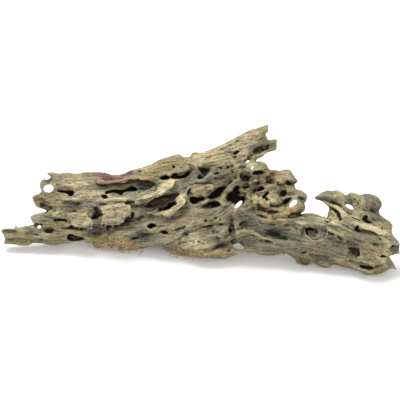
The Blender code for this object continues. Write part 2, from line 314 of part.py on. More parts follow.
# Pits and tunnels whose mouths are drawn, as (depth, outline)
PITS = {
    "bore with its slit": (14, [(57, 190.2), (64, 190.6), (72.5, 190.8), (73.9, 193), (73, 195.6),
                                (70, 196.9), (68.2, 196), (67.5, 194), (62, 192.4), (57.5, 191.7)]),
    "end of the valley": (14, [(100.8, 197), (102.5, 195), (105, 194.6), (107.6, 196), (108.2, 197.6),
                               (105.5, 199), (102.5, 198.8)]),
    "valley tunnel": (18, [(104, 193), (107, 190.9), (112, 189.7), (116, 189), (120, 189.6),
                           (124.5, 189.2), (128, 186.9), (131, 185.9), (134.8, 186.4), (137.6, 189),
                           (136.2, 191.3), (131, 192), (127, 191.6), (124.8, 192.6), (122.6, 193.4),
                           (122.8, 196), (118.2, 194.4), (115.6, 193.4), (113.4, 192.6), (110, 192.9),
                           (106.2, 194.4)]),
    "slot under the upper ridge": (15, [(160.3, 177.3), (162.5, 176.2), (165, 175.2), (167.5, 175.8),
                                        (170, 176.8), (172, 175.4), (174.4, 172.8), (176.3, 172.2),
                                        (177.2, 174.8), (178.7, 175.8), (182, 175.2), (185, 173),
                                        (187.5, 172), (189.8, 173), (189, 175.2), (185, 177.8),
                                        (180, 179), (176, 179), (172, 177.8), (168, 179.2),
                                        (164, 180.2), (160.8, 180.9)]),
    "throat of the big hollow": (24, [(155.3, 211.8), (157, 209.6), (162, 208.2), (166, 206.4),
                                      (169, 203.8), (172, 201.8), (175.7, 201.3), (176.6, 203),
                                      (174, 206.2), (170, 208.9), (166, 210.4), (161, 211.6)]),
    "left pit of the hollow": (8, [(125.2, 202.6), (127, 200.9), (131, 200.5), (135, 201.9),
        (133, 203.8),
                                   (129, 204.6), (126.3, 204.3)]),
    "hole in the low slab": (14, [(145, 226.4), (147.4, 225.4), (150, 223.8), (153, 223.6),
        (155.7, 225.4),
                                  (155, 226.9), (151.6, 227.8), (150.4, 229), (147.4, 227.2)]),
    "second hole in the low slab": (11, [(159.8, 233.1), (161.8, 230.6), (165, 229.7), (168.4, 231.9),
                                         (167.6, 233.3), (163, 233.8)]),
    "tunnel under the lump plate": (15, [(190.3, 196.9), (193, 196.6), (197, 197.8), (201, 197.2),
                                         (204.2, 197.3), (205.8, 198.7), (203, 200.5), (199.5, 200.9),
                                         (196.5, 203.3), (193.4, 204.3), (191, 202.8), (189.7, 200)]),
    "dark end of the oval hollow": (13, [(207, 203.6), (209.4, 202), (214, 201.5), (218.6, 202.4),
        (220.8, 204.4),
                                         (217, 205.6), (211, 205.2)]),
    "cave under the stub": (13, [(207, 197), (212, 194), (216, 190), (219.6, 186.6), (223, 187.4),
                                 (222.4, 191.6), (219.4, 197), (213, 199.2), (208, 199)]),
    "cave below the strip": (19, [(226.6, 199), (229, 194.6), (232.6, 190.4), (235.4, 192.6),
        (239, 196),
                                  (243.6, 195.6), (245.6, 198.6), (243.6, 203), (238, 205.6),
                                  (232.4, 203), (228.4, 200.8)]),
    "knot cave a": (8, [(235.4, 186.6), (241, 184.4), (246, 183.6), (250.4, 186), (249, 188.7),
        (243, 188.2),
                         (238, 190.2), (234, 189.4)]),
    "knot cave b": (4.5, [(240, 175), (245, 175.4), (250, 177.6), (248.4, 181), (243, 182.8),
        (240, 180.4)]),
    "knot cave c": (6.5, [(252.6, 189.8), (258, 186.8), (262, 186.2), (264.4, 189), (259, 191.4),
        (254, 191.8)]),
    "dark line under the yellow knob": (4.5, [(250.6, 171.9), (257, 171.4), (263, 172.8), (259, 174.8),
                                            (252, 174.2)]),
    "knot pit d": (5, [(261.6, 196.4), (265.4, 192.8), (269.4, 191.4), (266.6, 195), (263, 198)]),
    "knot pit e": (3.5, [(266, 180), (269, 178.6), (272.6, 181), (270.4, 183.6), (266.6, 183)]),
    "notch under the grey plate": (6, [(285.6, 181.6), (288, 180.2), (290, 182.4), (293.8, 182.6),
                                       (291, 184.8), (287, 185)]),
    "pit above the finger": (12, [(278.3, 194), (281.6, 190.8), (286, 190.4), (286.7, 193),
        (284, 196.8),
                                  (279.3, 196.4)]),
    "pit beside the finger ring": (8, [(283.2, 201), (286, 198.6), (290, 197.2), (293.4, 197.6),
        (291, 199.8),
                                       (288.8, 203), (286, 204.2), (283.8, 203.5)]),
    "pit of the eye": (6, [(303.4, 228.6), (307, 227.5), (311.5, 227.5), (315.6, 229), (317.8, 231.8),
                           (317.2, 234.8), (313.6, 236.8), (309, 236.6), (305.8, 234.8),
                           (304.8, 231.6)]),
    "dark side of the eye": (11, [(303.8, 228.4), (307, 227.5), (311.5, 227.7), (315.4, 229.4),
        (311.6, 230.4),
                                  (308, 230.8), (307.2, 234.6), (305.2, 233.6), (304.6, 231)]),
    "arc of the triangle recess": (8, [(328.7, 206), (332.5, 208), (337, 210.4), (340.2, 214.6),
                                        (341.1, 219.7), (339.5, 221.2), (337.8, 216.8), (334.8, 212.8),
                                        (331.2, 210.8), (328.6, 210.4)]),
    "upper hole of the knuckle": (11, [(361.3, 219.4), (362, 217), (364.6, 215.1), (368.4, 215.4),
                                       (366.8, 217.2), (365.4, 218.7), (365.8, 220.2), (368, 221.4),
                                       (371.4, 222.2), (367, 223.1), (363.2, 222.3)]),
    "lower hole of the knuckle": (9, [(353.5, 230.1), (354, 227.5), (356.3, 225.7), (358.2, 226.2),
                                      (356.9, 228.3), (357.6, 230), (360.4, 231.5), (357, 232)]),
    "recess above the knuckle eye": (4, [(343.6, 203.4), (345.4, 201.6), (348.6, 201.4), (352, 204),
                                         (350, 205.4), (346.6, 204.4)]),
    "square hollow": (4, [(348, 248.4), (350.4, 246.8), (353, 247.3), (357, 248.1), (359, 252),
        (358.6, 256.2),
                          (354, 256.8), (350, 255)]),
    "slit near the end": (6, [(376.8, 255.4), (381, 254.9), (386, 256.5), (381, 257.1)]),
    "lens under the log": (9, [(355.6, 264.4), (360, 265.2), (365, 265.4), (370, 265.9), (372.4, 267.5),
                               (368, 268.7), (362, 267.9), (357.4, 266.6)]),
    "tube of the lower prong": (3.2, [(254, 150.8), (257, 147.8), (262, 146.4), (268, 145),
        (272.8, 145.3),
                                    (270, 147.8), (266, 149.8), (262, 151.9), (257, 153.9),
                                    (251, 157.2),
                                    (247.4, 159.7), (248.8, 156.6), (252, 153.8)]),
    "red bore in the stub": (5, [(232.2, 153.6), (235.6, 151.4), (239.7, 150.1), (240, 152.3),
        (236.4, 154.4),
                                 (233.4, 155)]),
    "oval on the lump": (4, [(224.6, 168.6), (226.4, 166.8), (229.4, 167.2), (227.6, 169.6),
        (225, 170)]),
    "slate recess": (5, [(196.6, 179.4), (198.2, 176), (200, 172.2), (200.6, 168.8), (203.6, 168.4),
                         (206, 168.6), (209.6, 167.8), (209.2, 171.6), (206.8, 175.2), (203.6, 178.2),
                         (200, 179.8)]),
    "crease left of the lump": (5, [(186.4, 192.8), (188.4, 189.4), (190.1, 187.2), (190.8, 190),
                                    (189.7, 193.6), (187.8, 194.8)]),
    "slot behind the big plate": (13, [(90.8, 217.6), (94, 216.8), (98, 217), (96.8, 218.9),
        (92, 219.1)]),
    "pit behind the big plate": (11, [(98.6, 214.6), (101, 213.2), (103.4, 214.4), (101.6, 216.4)]),
    "shade under the flake": (6, [(68.2, 228), (71, 225.4), (74, 226), (78, 227.4), (84, 227.2),
        (90, 226.2),
                                  (93.4, 227.4), (92, 230), (86, 230), (78, 229.6), (72, 229)]),
    "slot in the second tongue": (5, [(52, 219.5), (58, 219.1), (62, 218.7), (65.8, 219.2),
        (67.1, 221.4),
                                      (64.6, 221.8), (61, 220.7), (55, 220.8)]),
    "nook above the tongue gap": (4, [(33.4, 224.6), (37, 223.2), (42, 223.9), (45, 226.6), (41.6, 226),
                                      (37.4, 225.8), (35.2, 227.2)]),
    "block under the middle tongue": (5, [(38.8, 203.4), (41.6, 203), (48, 206), (52.9, 207.6),
        (50, 209.8),
                                          (45, 209), (39.8, 206.8)]),
    "plank shade, centre": (3, [(42.8, 230.6), (47, 229), (55.4, 228.3), (53, 231), (51, 233.2),
        (46, 233)]),
    "black opening in the plank": (11, [(66.3, 239.8), (66.6, 235.8), (68, 234), (71, 233.8),
        (74, 234.9),
                                        (78, 236.1), (82, 237.3), (85.4, 239.4), (80, 240.7),
                                        (74, 240.9), (69, 240.5)]),
    "streak in the slab": (6, [(130.3, 239.4), (134, 237.4), (139, 236.1), (143.6, 236.5), (139, 238.2),
                               (134.6, 239.5), (131.4, 240.5)]),
    "plank end": (2, [(1.5, 230), (5, 229.4), (11, 229.6), (15.6, 229.2), (14.4, 232.6), (8, 233.4),
        (3, 233)]),
    "recess at the end": (4, [(389, 251.6), (390, 246.6), (392.4, 243.8), (394.6, 245.6), (398.2, 245),
                              (398.6, 250), (396, 252.6), (391, 253)]),
}

# Deep round bores: (across, down, radius, depth)
BORES = [
    (173.2, 166.5, 1.2, 7), (36.8, 235.4, 1.1, 3), (378.4, 238.2, 1.0, 3), (226.6, 205.8, 1.1, 4),
]

# Lips, knots and ridges that stand out of the seen side, in the same form as the hollows
RAISED = [
    ("lip over the slot, left lobe", 1.2, [(159, 174.2, 0, 2), (165, 172.2, 1, 2.6), (170, 173, 1, 2)]),
    ("lip over the slot, right lobe", 1.2, [(178, 171, 1, 2.4), (182, 171, 1.2, 2.4),
        (186, 169, 0.8, 2)]),
    ("lip over the valley", 1.2, [(98, 181, 0, 1.6), (112, 181.4, 0.8, 2), (123, 180.2, 1.4, 2.2),
        (129, 176.6, 1, 2), (140, 177.2, 0.6, 1.6), (152, 177.6, 0.4, 1.4)]),
    ("ridge under the valley", 0.9, [(98, 200.6, 0, 1.4), (112, 200.2, 0.6, 1.8), (126, 199, 0.8, 1.7),
        (140, 199.6, 1, 1.5)]),
    ("ledge in the valley", 0.9, [(108, 196, -4, 1.4), (116, 196.6, -4, 1.8), (126, 194.6, -4.6, 1.8),
        (140, 192, -3.4, 1.6)]),
    ("knob on the upper edge", 1.8, [(194, 157, -2, 4), (200, 158, -2, 4)]),
    ("rim of the slate recess", 0.9, [(199, 182, 0.4, 1.5), (204.5, 180.8, 1.2, 1.5),
        (209.3, 176, 1.4, 1.5),
        (214, 170.5, 1.2, 1.4), (219, 166, 0.6, 1.2)]),
    ("lump beside the stub", 1.2, [(220, 172.6, 0, 3.6), (226.6, 171.4, 0.8, 4.6),
        (226, 175, -0.5, 3)]),
    ("lump plate", 1.2, [(195.5, 190.4, 0, 5), (203, 190.4, 0.8, 5.2), (211, 187.4, 0, 3.6)]),
    ("lip of the lump plate", 0.7, [(191, 194.6, 0, 1.2), (197, 196, 0.6, 1.4), (204, 195.4, 0.4, 1.3),
        (209, 192, 0, 1)]),
    ("crescent lip", 0.7, [(159, 213.4, 0.4, 1.1), (165, 213, 2, 2.1), (172, 210, 3.4, 2.9),
        (177.6, 205.4, 4, 3.4),
        (181.6, 200, 4, 3.1), (184, 195, 3.2, 2.1), (188, 190.4, 2, 1.1)]),
    ("thin lip", 0.7, [(143.6, 209.6, 0, 0.9), (149, 212.6, 0.2, 1.1), (158, 213.6, 0.2, 1.1)]),
    ("lip of the oval hollow", 0.8, [(202, 203, 0, 0.9), (206, 200.4, 0.4, 1.2), (213, 199.4, 0.7, 1.4),
        (220, 200.6, 0.5, 1.3), (223.4, 204, 0, 0.9)]),
    ("light strip below the stub", 0.7, [(247, 167.6, -1, 1.2), (243, 174, 0, 1.6),
        (236.6, 180.4, 0, 1.9),
        (230.4, 187, -1, 2), (225.3, 194, -2, 1.9), (222.3, 200, -1, 1.6)]),
    ("pillar at the slab's end", 0.9, [(234.6, 211.6, 0, 1.5), (236.6, 220, 0.5, 2), (236, 229, 0.2, 2),
        (237.4, 236.4, 0, 1.6)]),
    ("foot edge of the slab", 1.5, [(206, 254, 0, 2), (220, 253.6, 0, 2.6), (232, 252.8, 0, 2.4),
        (246, 250.8, -1, 1.2)]),
    ("chips at the slab's end", 0.6, [(219.4, 231.6, 0, 1), (224.4, 231, 1, 1.4),
        (227.4, 230, 0.6, 0.9)]),
    ("lower chip", 0.6, [(218, 236.4, 0, 0.9), (222.6, 236, 1, 1.2)]),
    ("layer above the crack", 0.7, [(212, 222, 0, 1), (220, 222, 0.7, 1.3), (227.4, 222, 0.7, 1)]),
    ("layer below the crack", 0.7, [(211, 227.6, 0, 1), (219, 227.4, 0.7, 1.2), (227.4, 228, 0.5, 1)]),
    ("yellow knob", 0.9, [(257, 165.4, 0, 3.6), (262.4, 166, 0.6, 3.4)]),
    ("hook of the yellow knob", 0.7, [(258, 162.6, 1.6, 1.2), (263, 162.6, 2.2, 1.3),
        (266, 166, 2, 1.3),
        (263.6, 169, 2.4, 1.2)]),
    ("pale bulb", 0.7, [(236.6, 184.6, -3, 1.6), (241, 183, -1.4, 2.4)]),
    ("crooked branch", 0.7, [(243, 190.4, -4, 1.5), (248.4, 185.6, -1.6, 2),
        (252.6, 182.2, -0.4, 2), (257.6, 180, 0, 1.8)]),
    ("lower branch", 0.7, [(241, 190.6, -4, 1.3), (246.4, 188.8, -2, 1.6), (250, 187.4, -1.4, 1.3)]),
    ("knot lump c", 0.9, [(254, 179.6, 0, 2.4), (260, 177, 0, 2.8), (267, 174.8, 0, 2.6)]),
    ("knot lump d", 0.9, [(249, 195.5, 0, 2.6), (255, 199.6, 0.4, 3.4)]),
    ("dark plate a", 0.7, [(260.6, 182, 0, 2.4), (266.4, 180.8, 0.6, 2.4)]),
    ("dark plate b", 0.7, [(261.6, 189.4, -0.4, 2.4), (268, 187.6, 0.2, 2.6)]),
    ("twisted branch a", 0.7, [(246.4, 204.4, -1, 1.5), (250, 200, 0.6, 1.9),
        (254, 197.6, 0.8, 1.8), (257.4, 193.4, 0, 1.5)]),
    ("twisted branch b", 0.7, [(252.4, 203.8, 0, 1.3), (256.8, 201.4, 0.8, 1.5),
        (259.8, 197, 0.6, 1.2)]),
    ("twigs in the pit", 0.5, [(279, 190.6, -0.6, 0.9), (284, 189, 0, 1), (287.4, 190.8, 0, 0.8)]),
    ("lobe a", 1.2, [(261, 199.6, 0, 3.8), (266, 204.6, 0.6, 4.2)]),
    ("lobe b", 1.2, [(271.5, 196.5, 0, 3.8), (274.5, 202, 0.2, 3.6)]),
    ("upper finger", 1.2, [(288, 187.5, -1, 2.6), (295, 191.6, 0, 3), (301, 194, 0.4, 3),
        (305, 197, 0, 2.2)]),
    ("orange finger", 0.9, [(266, 209.6, 0, 2), (276, 209.6, 1, 2.6), (286, 210.2, 1.2, 2.8),
        (295, 208.2, 1.2, 3),
        (301.5, 204.8, 0.4, 2.6)]),
    ("finger below", 0.7, [(256, 211.6, 0, 1.2), (268, 215, 0.8, 1.5), (280, 214.4, 1, 1.4),
        (291, 212.6, 0.6, 1.2)]),
    ("second finger below", 0.7, [(262, 219.6, 0, 1.4), (272, 221, 0.6, 1.8),
        (284, 221.4, 0.6, 1.8), (293, 220, 0.4, 1.4)]),
    ("ridge across the log", 0.7, [(240, 229.5, 0, 1.3), (250, 232, 0.6, 1.7), (260, 236, 0.8, 1.8),
        (269, 239.4, 0, 1.2)]),
    ("light chip in the log", 0.7, [(269, 241.8, 0, 1.1), (275, 242.6, 0.4, 1.4), (279.5, 243, 0, 1)]),
    ("yellow edge of the beak", 0.7, [(322, 201.4, -0.6, 1.1), (330, 205, 0.4, 1.7),
        (337, 208.6, 0.8, 2),
        (343, 213.4, 0.6, 2.4), (346, 220, 0.2, 2.4), (346.4, 225, 0, 1.8)]),
    ("back of the beak", 0.9, [(318, 196.6, 0, 1.8), (326, 195.2, 0, 2.8), (334, 197, 0, 2.8)]),
    ("grey lobe", 1.5, [(363, 200, 0, 4.4), (370, 202, 0.4, 5.4), (375, 204.6, 0, 4)]),
    ("ridge between the holes", 1.2, [(350, 221, 0.4, 2.4), (360, 225.6, 0.8, 2.4),
        (374, 229, 0.8, 2.6), (386, 234, 0, 2.4)]),
    ("end lobe", 1.8, [(368, 257, 0, 4), (375, 261, 0.2, 4.6), (381, 261, 0, 3.4)]),
    ("chips by the slit", 0.7, [(375, 257.4, 0.8, 0.8), (383.6, 258.4, 0.8, 0.9)]),
    ("belly of the log", 1.8, [(300, 260.6, -2, 3.4), (305, 261.6, -1, 3.4)]),
    ("second belly", 1.8, [(320, 262, -1, 3.4), (327, 263, -1, 3.6)]),
]

# Thin sheets of wood that lift off the face: a rim of (across, down, out) and half a thickness
SHEETS = [
    ("flap over the big hollow", 1.7, 1.5, [(118, 200.5, -1), (128, 197.4, 0), (138, 195, -1),
        (148, 190.6, -2),
        (158, 186, -1), (166, 181, 0), (172, 179.6, 1.5), (175.2, 181, 2.6), (174, 185, 3.4),
        (170, 189.6, 4),
        (164, 193.6, 4), (157, 197, 3.6), (148, 198, 3), (143, 199.6, 2.6), (138, 201.6, 2),
        (128, 201.6, 1)]),
    ("flake", 1.4, 1.2, [(68, 214, 0), (76, 212.4, 0.6), (86, 213.5, 1), (91, 217.5, 1.6),
        (92.4, 221, 2),
        (93.4, 224.4, 3), (90, 225.6, 3.4), (87, 226.6, 3.6), (82, 227, 3.6), (78, 226.4, 3.6),
        (75, 226.2, 3.2),
        (71.5, 223.6, 2.4), (68.6, 219, 0.6)]),
    ("big plate", 2.3, 1.8, [(100.5, 208, -0.5), (105, 204.6, -1), (112, 203, -1), (120, 201.6, 0),
        (126, 204, 1),
        (130.6, 208.4, 2.4), (131, 212.6, 3.4), (127, 216.4, 4), (121, 220, 4.6), (114, 222.4, 4.8),
        (107, 222.4, 4.4), (103, 219.6, 3.6), (102.8, 214, 2)]),
    ("grey plate", 1.9, 1.5, [(275, 173, -0.5), (281, 172, 0), (288.5, 170.6, 0), (292.4, 175.6, 0.6),
        (296, 180.8, 1), (291, 181, 1.6), (286, 179, 1.8), (281, 182, 1.6), (277, 178.4, 0.8)]),
]

# Broken limb on the hidden side, which props the log up, as (across, down, out, radius) on the plane
PROP = [(172, 214, -30, 14), (166, 226, -48, 10), (161, 231, -62, 7.5)]


def segment_distance(px, py, ax, ay, bx, by):
    """Distance from points to the segment a-b on the plane."""
    dx, dy = bx - ax, by - ay
    t = np.clip(((px - ax) * dx + (py - ay) * dy) / (dx * dx + dy * dy + 1e-9), 0, 1)
    return np.hypot(px - ax - t * dx, py - ay - t * dy)


def polygon_distance(points, px, py):
    """Signed distance to a closed outline, positive inside."""
    nearest = np.full(px.shape, 1e9)
    inside = np.zeros(px.shape, bool)
    for (ax, ay), (bx, by) in zip(points, points[1:] + points[:1]):
        nearest = np.minimum(nearest, segment_distance(px, py, ax, ay, bx, by))
        if ay != by:
            crosses = (ay > py) != (by > py)
            inside ^= crosses & (px < (bx - ax) * (py - ay) / (by - ay) + ax)
    return np.where(inside, nearest, -nearest)


def blend_min(a, b, soft):
    """Union of two fields with a fillet of about `soft`."""
    h = np.clip(0.5 + 0.5 * (b - a) / soft, 0, 1)
    return b + (a - b) * h - soft * h * (1 - h)


def blend_max(a, b, soft):
    """Intersection of two fields with a fillet of about `soft`."""
    return -blend_min(-a, -b, soft)


class Noise:
    """Smooth repeatable noise in three coordinates, from random values on a lattice."""

    def __init__(self, seed, size=32):
        self.size = size
        self.values = np.random.default_rng(seed).uniform(-1, 1, (size, size, size)).astype(np.float32)

    def __call__(self, x, y, z):
        total = 0.0
        cells = [np.floor(c).astype(np.int32) for c in (x, y, z)]
        parts = [c - i for c, i in zip((x, y, z), cells)]
        parts = [p * p * (3 - 2 * p) for p in parts]
        for corner in range(8):
            picks = []
            weight = 1.0
            for axis in range(3):
                step = corner >> axis & 1
                picks.append((cells[axis] + step) % self.size)
                weight = weight * (parts[axis] if step else 1 - parts[axis])
            total = total + weight * self.values[picks[0], picks[1], picks[2]]
        return total

    def ridged(self, x, y, z):
        """Noise with sharp crests, from -1 in the troughs to 1 on the crests."""
        return 1 - 2 * np.abs(self(x, y, z))


class Wood:
    """The field of the log on a grid: across, down, out."""

    def __init__(self, step):
        self.step = step
        tops = np.array(OUTLINE)
        low = tops.min(axis=0) - MARGIN
        high = tops.max(axis=0) + MARGIN
        self.x = np.arange(low[0], high[0], step)
        self.v = np.arange(low[1], high[1], step)
        self.d = np.arange(DEPTH_BACK, DEPTH_FRONT, step)
        self.px, self.pv = np.meshgrid(self.x, self.v, indexing="ij")
        self.noise = Noise(7)
        self.swayed = [place + 1.1 * self.noise(self.px / 9, self.pv / 8, level)
                       + 0.6 * self.noise(self.px / 3.8, self.pv / 3.4, level + 3)
                       for place, level in ((self.px, 0.5), (self.pv, 9.5))]

    def girth(self):
        """Depth of the middle and half thickness, blended from the places of GIRTH."""
        middle = np.zeros_like(self.px)
        half = np.zeros_like(self.px)
        total = np.zeros_like(self.px)
        for across, down, out, size in GIRTH:
            far = (self.px - across) ** 2 + (self.pv - down) ** 2
            weight = 1 / (far + 40) ** 2
            middle += weight * out
            half += weight * size
            total += weight
        return middle / total, half / total

    def membrane(self, edge, half):
        """Square of the half thickness: a membrane over the outline, held down at its rim.

        It solves lap(u) = k^2 (u - half^2) with u = 0 on the rim, where k is chosen so that
        the rim has about the radius RIM_RADIUS.
        """
        inside = edge > 0
        target = half ** 2
        k2 = np.clip(2 * RIM_RADIUS / np.maximum(target, 9), 0, 0.35) ** 2 * self.step ** 2
        u = np.where(inside, target * np.clip(edge / half, 0, 1), 0)
        for _ in range(500):
            around = (np.roll(u, 1, 0) + np.roll(u, -1, 0) + np.roll(u, 1, 1) + np.roll(u, -1, 1))
            u = np.where(inside, (around + k2 * target) / (4 + k2), 0)
        outside = -2 * RIM_RADIUS * np.maximum(-edge, 0) * 0.8
        return np.where(inside, u, outside)

    def grain(self):
        """Coordinates along and across the grain, worked out from GRAIN_LINES.

        The direction is averaged from the lines near a place; the coordinates are the two
        maps whose slopes fit the direction best, found with a Fourier transform.
        """
        cos2 = np.zeros_like(self.px)
        sin2 = np.zeros_like(self.px)
        for line in GRAIN_LINES:
            for (ax, ay), (bx, by) in zip(line, line[1:]):
                angle = 2 * math.atan2(by - ay, bx - ax)
                near = segment_distance(self.px, self.pv, ax, ay, bx, by)
                weight = math.hypot(bx - ax, by - ay) / (near ** 2 + 12) ** 2
                cos2 += weight * math.cos(angle)
                sin2 += weight * math.sin(angle)
        angle = 0.5 * np.arctan2(sin2, cos2)
        along = self.fit_slopes(np.cos(angle), np.sin(angle))
        across = self.fit_slopes(-np.sin(angle), np.cos(angle))
        for eye_x, eye_v, radius in GRAIN_EYES:
            i = int(round((eye_x - self.x[0]) / self.step))
            j = int(round((eye_v - self.v[0]) / self.step))
            far = (self.px - eye_x) ** 2 + (self.pv - eye_v) ** 2
            across = across - (across - across[i, j]) * radius ** 2 / (far + radius ** 2)
        return along, across, angle

    def fit_slopes(self, slope_x, slope_v):
        """The map whose slopes are nearest to the two given, mirrored at the grid's border."""
        gx = np.block([[slope_x, slope_x[:, ::-1]], [-slope_x[::-1], -slope_x[::-1, ::-1]]])
        gv = np.block([[slope_v, -slope_v[:, ::-1]], [slope_v[::-1], -slope_v[::-1, ::-1]]])
        kx = 2 * np.pi * np.fft.fftfreq(gx.shape[0], self.step)[:, None]
        kv = 2 * np.pi * np.fft.fftfreq(gx.shape[1], self.step)[None, :]
        k2 = kx ** 2 + kv ** 2
        k2[0, 0] = 1
        fitted = -1j * (kx * np.fft.fft2(gx) + kv * np.fft.fft2(gv)) / k2
        fitted[0, 0] = 0
        return np.fft.ifft2(fitted).real[:slope_x.shape[0], :slope_x.shape[1]]

    def body(self):
        """The bare body: front and back faces about the middle, round at the rim."""
        edge = polygon_distance(OUTLINE, self.px, self.pv)
        self.middle, half = self.girth()
        self.u = self.membrane(edge, half)
        thick = np.sqrt(np.maximum(self.u, 0))
        self.seen = (self.middle + thick, 1)
        self.hidden = (self.middle - thick, -1)
        slope_x, slope_v = np.gradient(self.u, self.step)
        lean_x, lean_v = np.gradient(self.middle, self.step)
        out = self.d[None, None, :] - self.middle[:, :, None]
        rise = 2 * np.sqrt(out ** 2 * (1 + (lean_x ** 2 + lean_v ** 2)[:, :, None])
                           + 0.25 * (slope_x ** 2 + slope_v ** 2)[:, :, None])
        self.field = (out ** 2 - self.u[:, :, None]) / np.maximum(rise, 5.0)

    def block(self, stroke, reach):
        """The part of the grid that a stroke can touch."""
        points = np.array(stroke)[:, :2]
        low = points.min(axis=0) - reach
        high = points.max(axis=0) + reach
        i = slice(*np.searchsorted(self.x, (low[0], high[0])))
        j = slice(*np.searchsorted(self.v, (low[1], high[1])))
        return i, j

    def stroke_distance(self, i, j, face, stroke, trough):
        """Signed distance to a chain of tapered rods laid on a face.

        `face` is a map of depths and the sign that points out of the wood there. A trough
        has upright walls from the rods outwards, so it is open to its face.
        """
        base, sign = face
        x, v = [place[i, j] for place in self.swayed]
        out = sign * (self.d[None, None, :] - base[i, j][:, :, None])
        nearest = np.full(out.shape, 1e9)
        for a, b in zip(stroke, stroke[1:]):
            dx, dv = b[0] - a[0], b[1] - a[1]
            t = np.clip(((x - a[0]) * dx + (v - a[1]) * dv) / max(dx * dx + dv * dv, 1e-9), 0, 1)
            aside2 = ((x - a[0] - t * dx) ** 2 + (v - a[1] - t * dv) ** 2)[:, :, None]
            rise = out - (a[2] + t * (b[2] - a[2]))[:, :, None]
            if trough:
                rise = np.minimum(rise, 0)
            radius = (a[3] + t * (b[3] - a[3]))[:, :, None]
            nearest = np.minimum(nearest, np.sqrt(aside2 + rise ** 2) - radius)
        return nearest

    def cut(self, stroke, soft, face):
        i, j = self.block(stroke, 14 + 2 * soft)
        near = self.stroke_distance(i, j, face, stroke, trough=True)
        self.field[i, j] = blend_max(self.field[i, j], -near, soft)

    def add(self, stroke, soft, face):
        i, j = self.block(stroke, 14 + 2 * soft)
        near = self.stroke_distance(i, j, face, stroke, trough=False)
        self.field[i, j] = blend_min(self.field[i, j], near, soft)

    def add_limb(self, stroke, soft):
        """A limb through the whole depth: a chain of tapered rods in (across, down, out)."""
        i, j = self.block(stroke, 30)
        x = self.px[i, j][:, :, None]
        v = self.pv[i, j][:, :, None]
        d = self.d[None, None, :]
        for a, b in zip(stroke, stroke[1:]):
            run = [b[n] - a[n] for n in range(3)]
            t = ((x - a[0]) * run[0] + (v - a[1]) * run[1] + (d - a[2]) * run[2]) / sum(r * r for r in run)
            t = np.clip(t, 0, 1)
            away = np.sqrt((x - a[0] - t * run[0]) ** 2 + (v - a[1] - t * run[1]) ** 2
                           + (d - a[2] - t * run[2]) ** 2)
            self.field[i, j] = blend_min(self.field[i, j], away - (a[3] + t * (b[3] - a[3])), soft)

    def lay_sheet(self, rim, half, soft, face):
        """A thin sheet with frayed edges, whose height follows the heights round its rim."""
        i, j = self.block(rim, 14)
        x, v = [place[i, j] for place in self.swayed]
        edge = polygon_distance([p[:2] for p in rim], x, v) + 0.9 * self.noise(x / 2.5, v / 2.3, 2.5)
        height = np.zeros_like(x)
        total = np.zeros_like(x)
        for across, down, out in rim:
            weight = 1 / ((x - across) ** 2 + (v - down) ** 2 + 2)
            height += weight * out
            total += weight
        height = height / total + face[0][i, j]
        away = self.d[None, None, :] - height[:, :, None]
        near = np.sqrt(np.maximum(-edge, 0)[:, :, None] ** 2 + away ** 2) - half
        self.field[i, j] = blend_min(self.field[i, j], near, soft)

    def dent(self, across, down, length, width, turn, depth):
        """A soft dent in the seen side, deepest in its middle."""
        i, j = self.block([(across, down)], 2.4 * max(length, width))
        x, v = self.swayed[0][i, j] - across, self.swayed[1][i, j] - down
        c, s = math.cos(math.radians(turn)), math.sin(math.radians(turn))
        far = ((x * c + v * s) / length) ** 2 + ((v * c - x * s) / width) ** 2
        near = np.clip(0.5 + (self.d[None, None, :] - self.middle[i, j][:, :, None]) / 8, 0, 1)
        self.field[i, j] += depth * np.exp(-far)[:, :, None] * near

    def open_pit(self, depth, points):
        """A pit with a drawn mouth, torn walls and a rough floor, a little narrower with depth."""
        i, j = self.block(points, 5)
        x, v, d = self.px[i, j][:, :, None], self.pv[i, j][:, :, None], self.d[None, None, :]
        edge = polygon_distance(points, x[:, :, 0], v[:, :, 0])[:, :, None]
        below = np.minimum(d - self.seen[0][i, j][:, :, None], 0)
        torn = 0.3 + 0.9 * self.noise(x / 3.4, v / 3, d / 4)
        uneven = 2.2 * self.noise(x / 6, v / 5, 4.5)
        hole = np.minimum(edge + torn + 0.06 * below, below + depth + uneven)
        self.field[i, j] = blend_max(self.field[i, j], hole, 0.7)

    def open_window(self, points):
        """An opening that goes right through, square to the plane."""
        i, j = self.block(points, 8)
        edge = polygon_distance(points, self.px[i, j], self.pv[i, j])
        self.field[i, j] = blend_max(self.field[i, j], edge[:, :, None], 1.2)

    def cell(self, place):
        """The grid cell nearest to a place on the plane."""
        i = int(np.clip(round((place[0] - self.x[0]) / self.step), 0, len(self.x) - 1))
        j = int(np.clip(round((place[1] - self.v[0]) / self.step), 0, len(self.v) - 1))
        return i, j

    def follow_grain(self, start, length, pieces=5):
        """Points along the grain from a start, as (across, down)."""
        points = [start]
        for _ in range(pieces):
            turn = self.angle[self.cell(points[-1])]
            x = points[-1][0] + math.cos(turn) * length / pieces
            v = points[-1][1] + math.sin(turn) * length / pieces
            points.append((x, v))
        return points

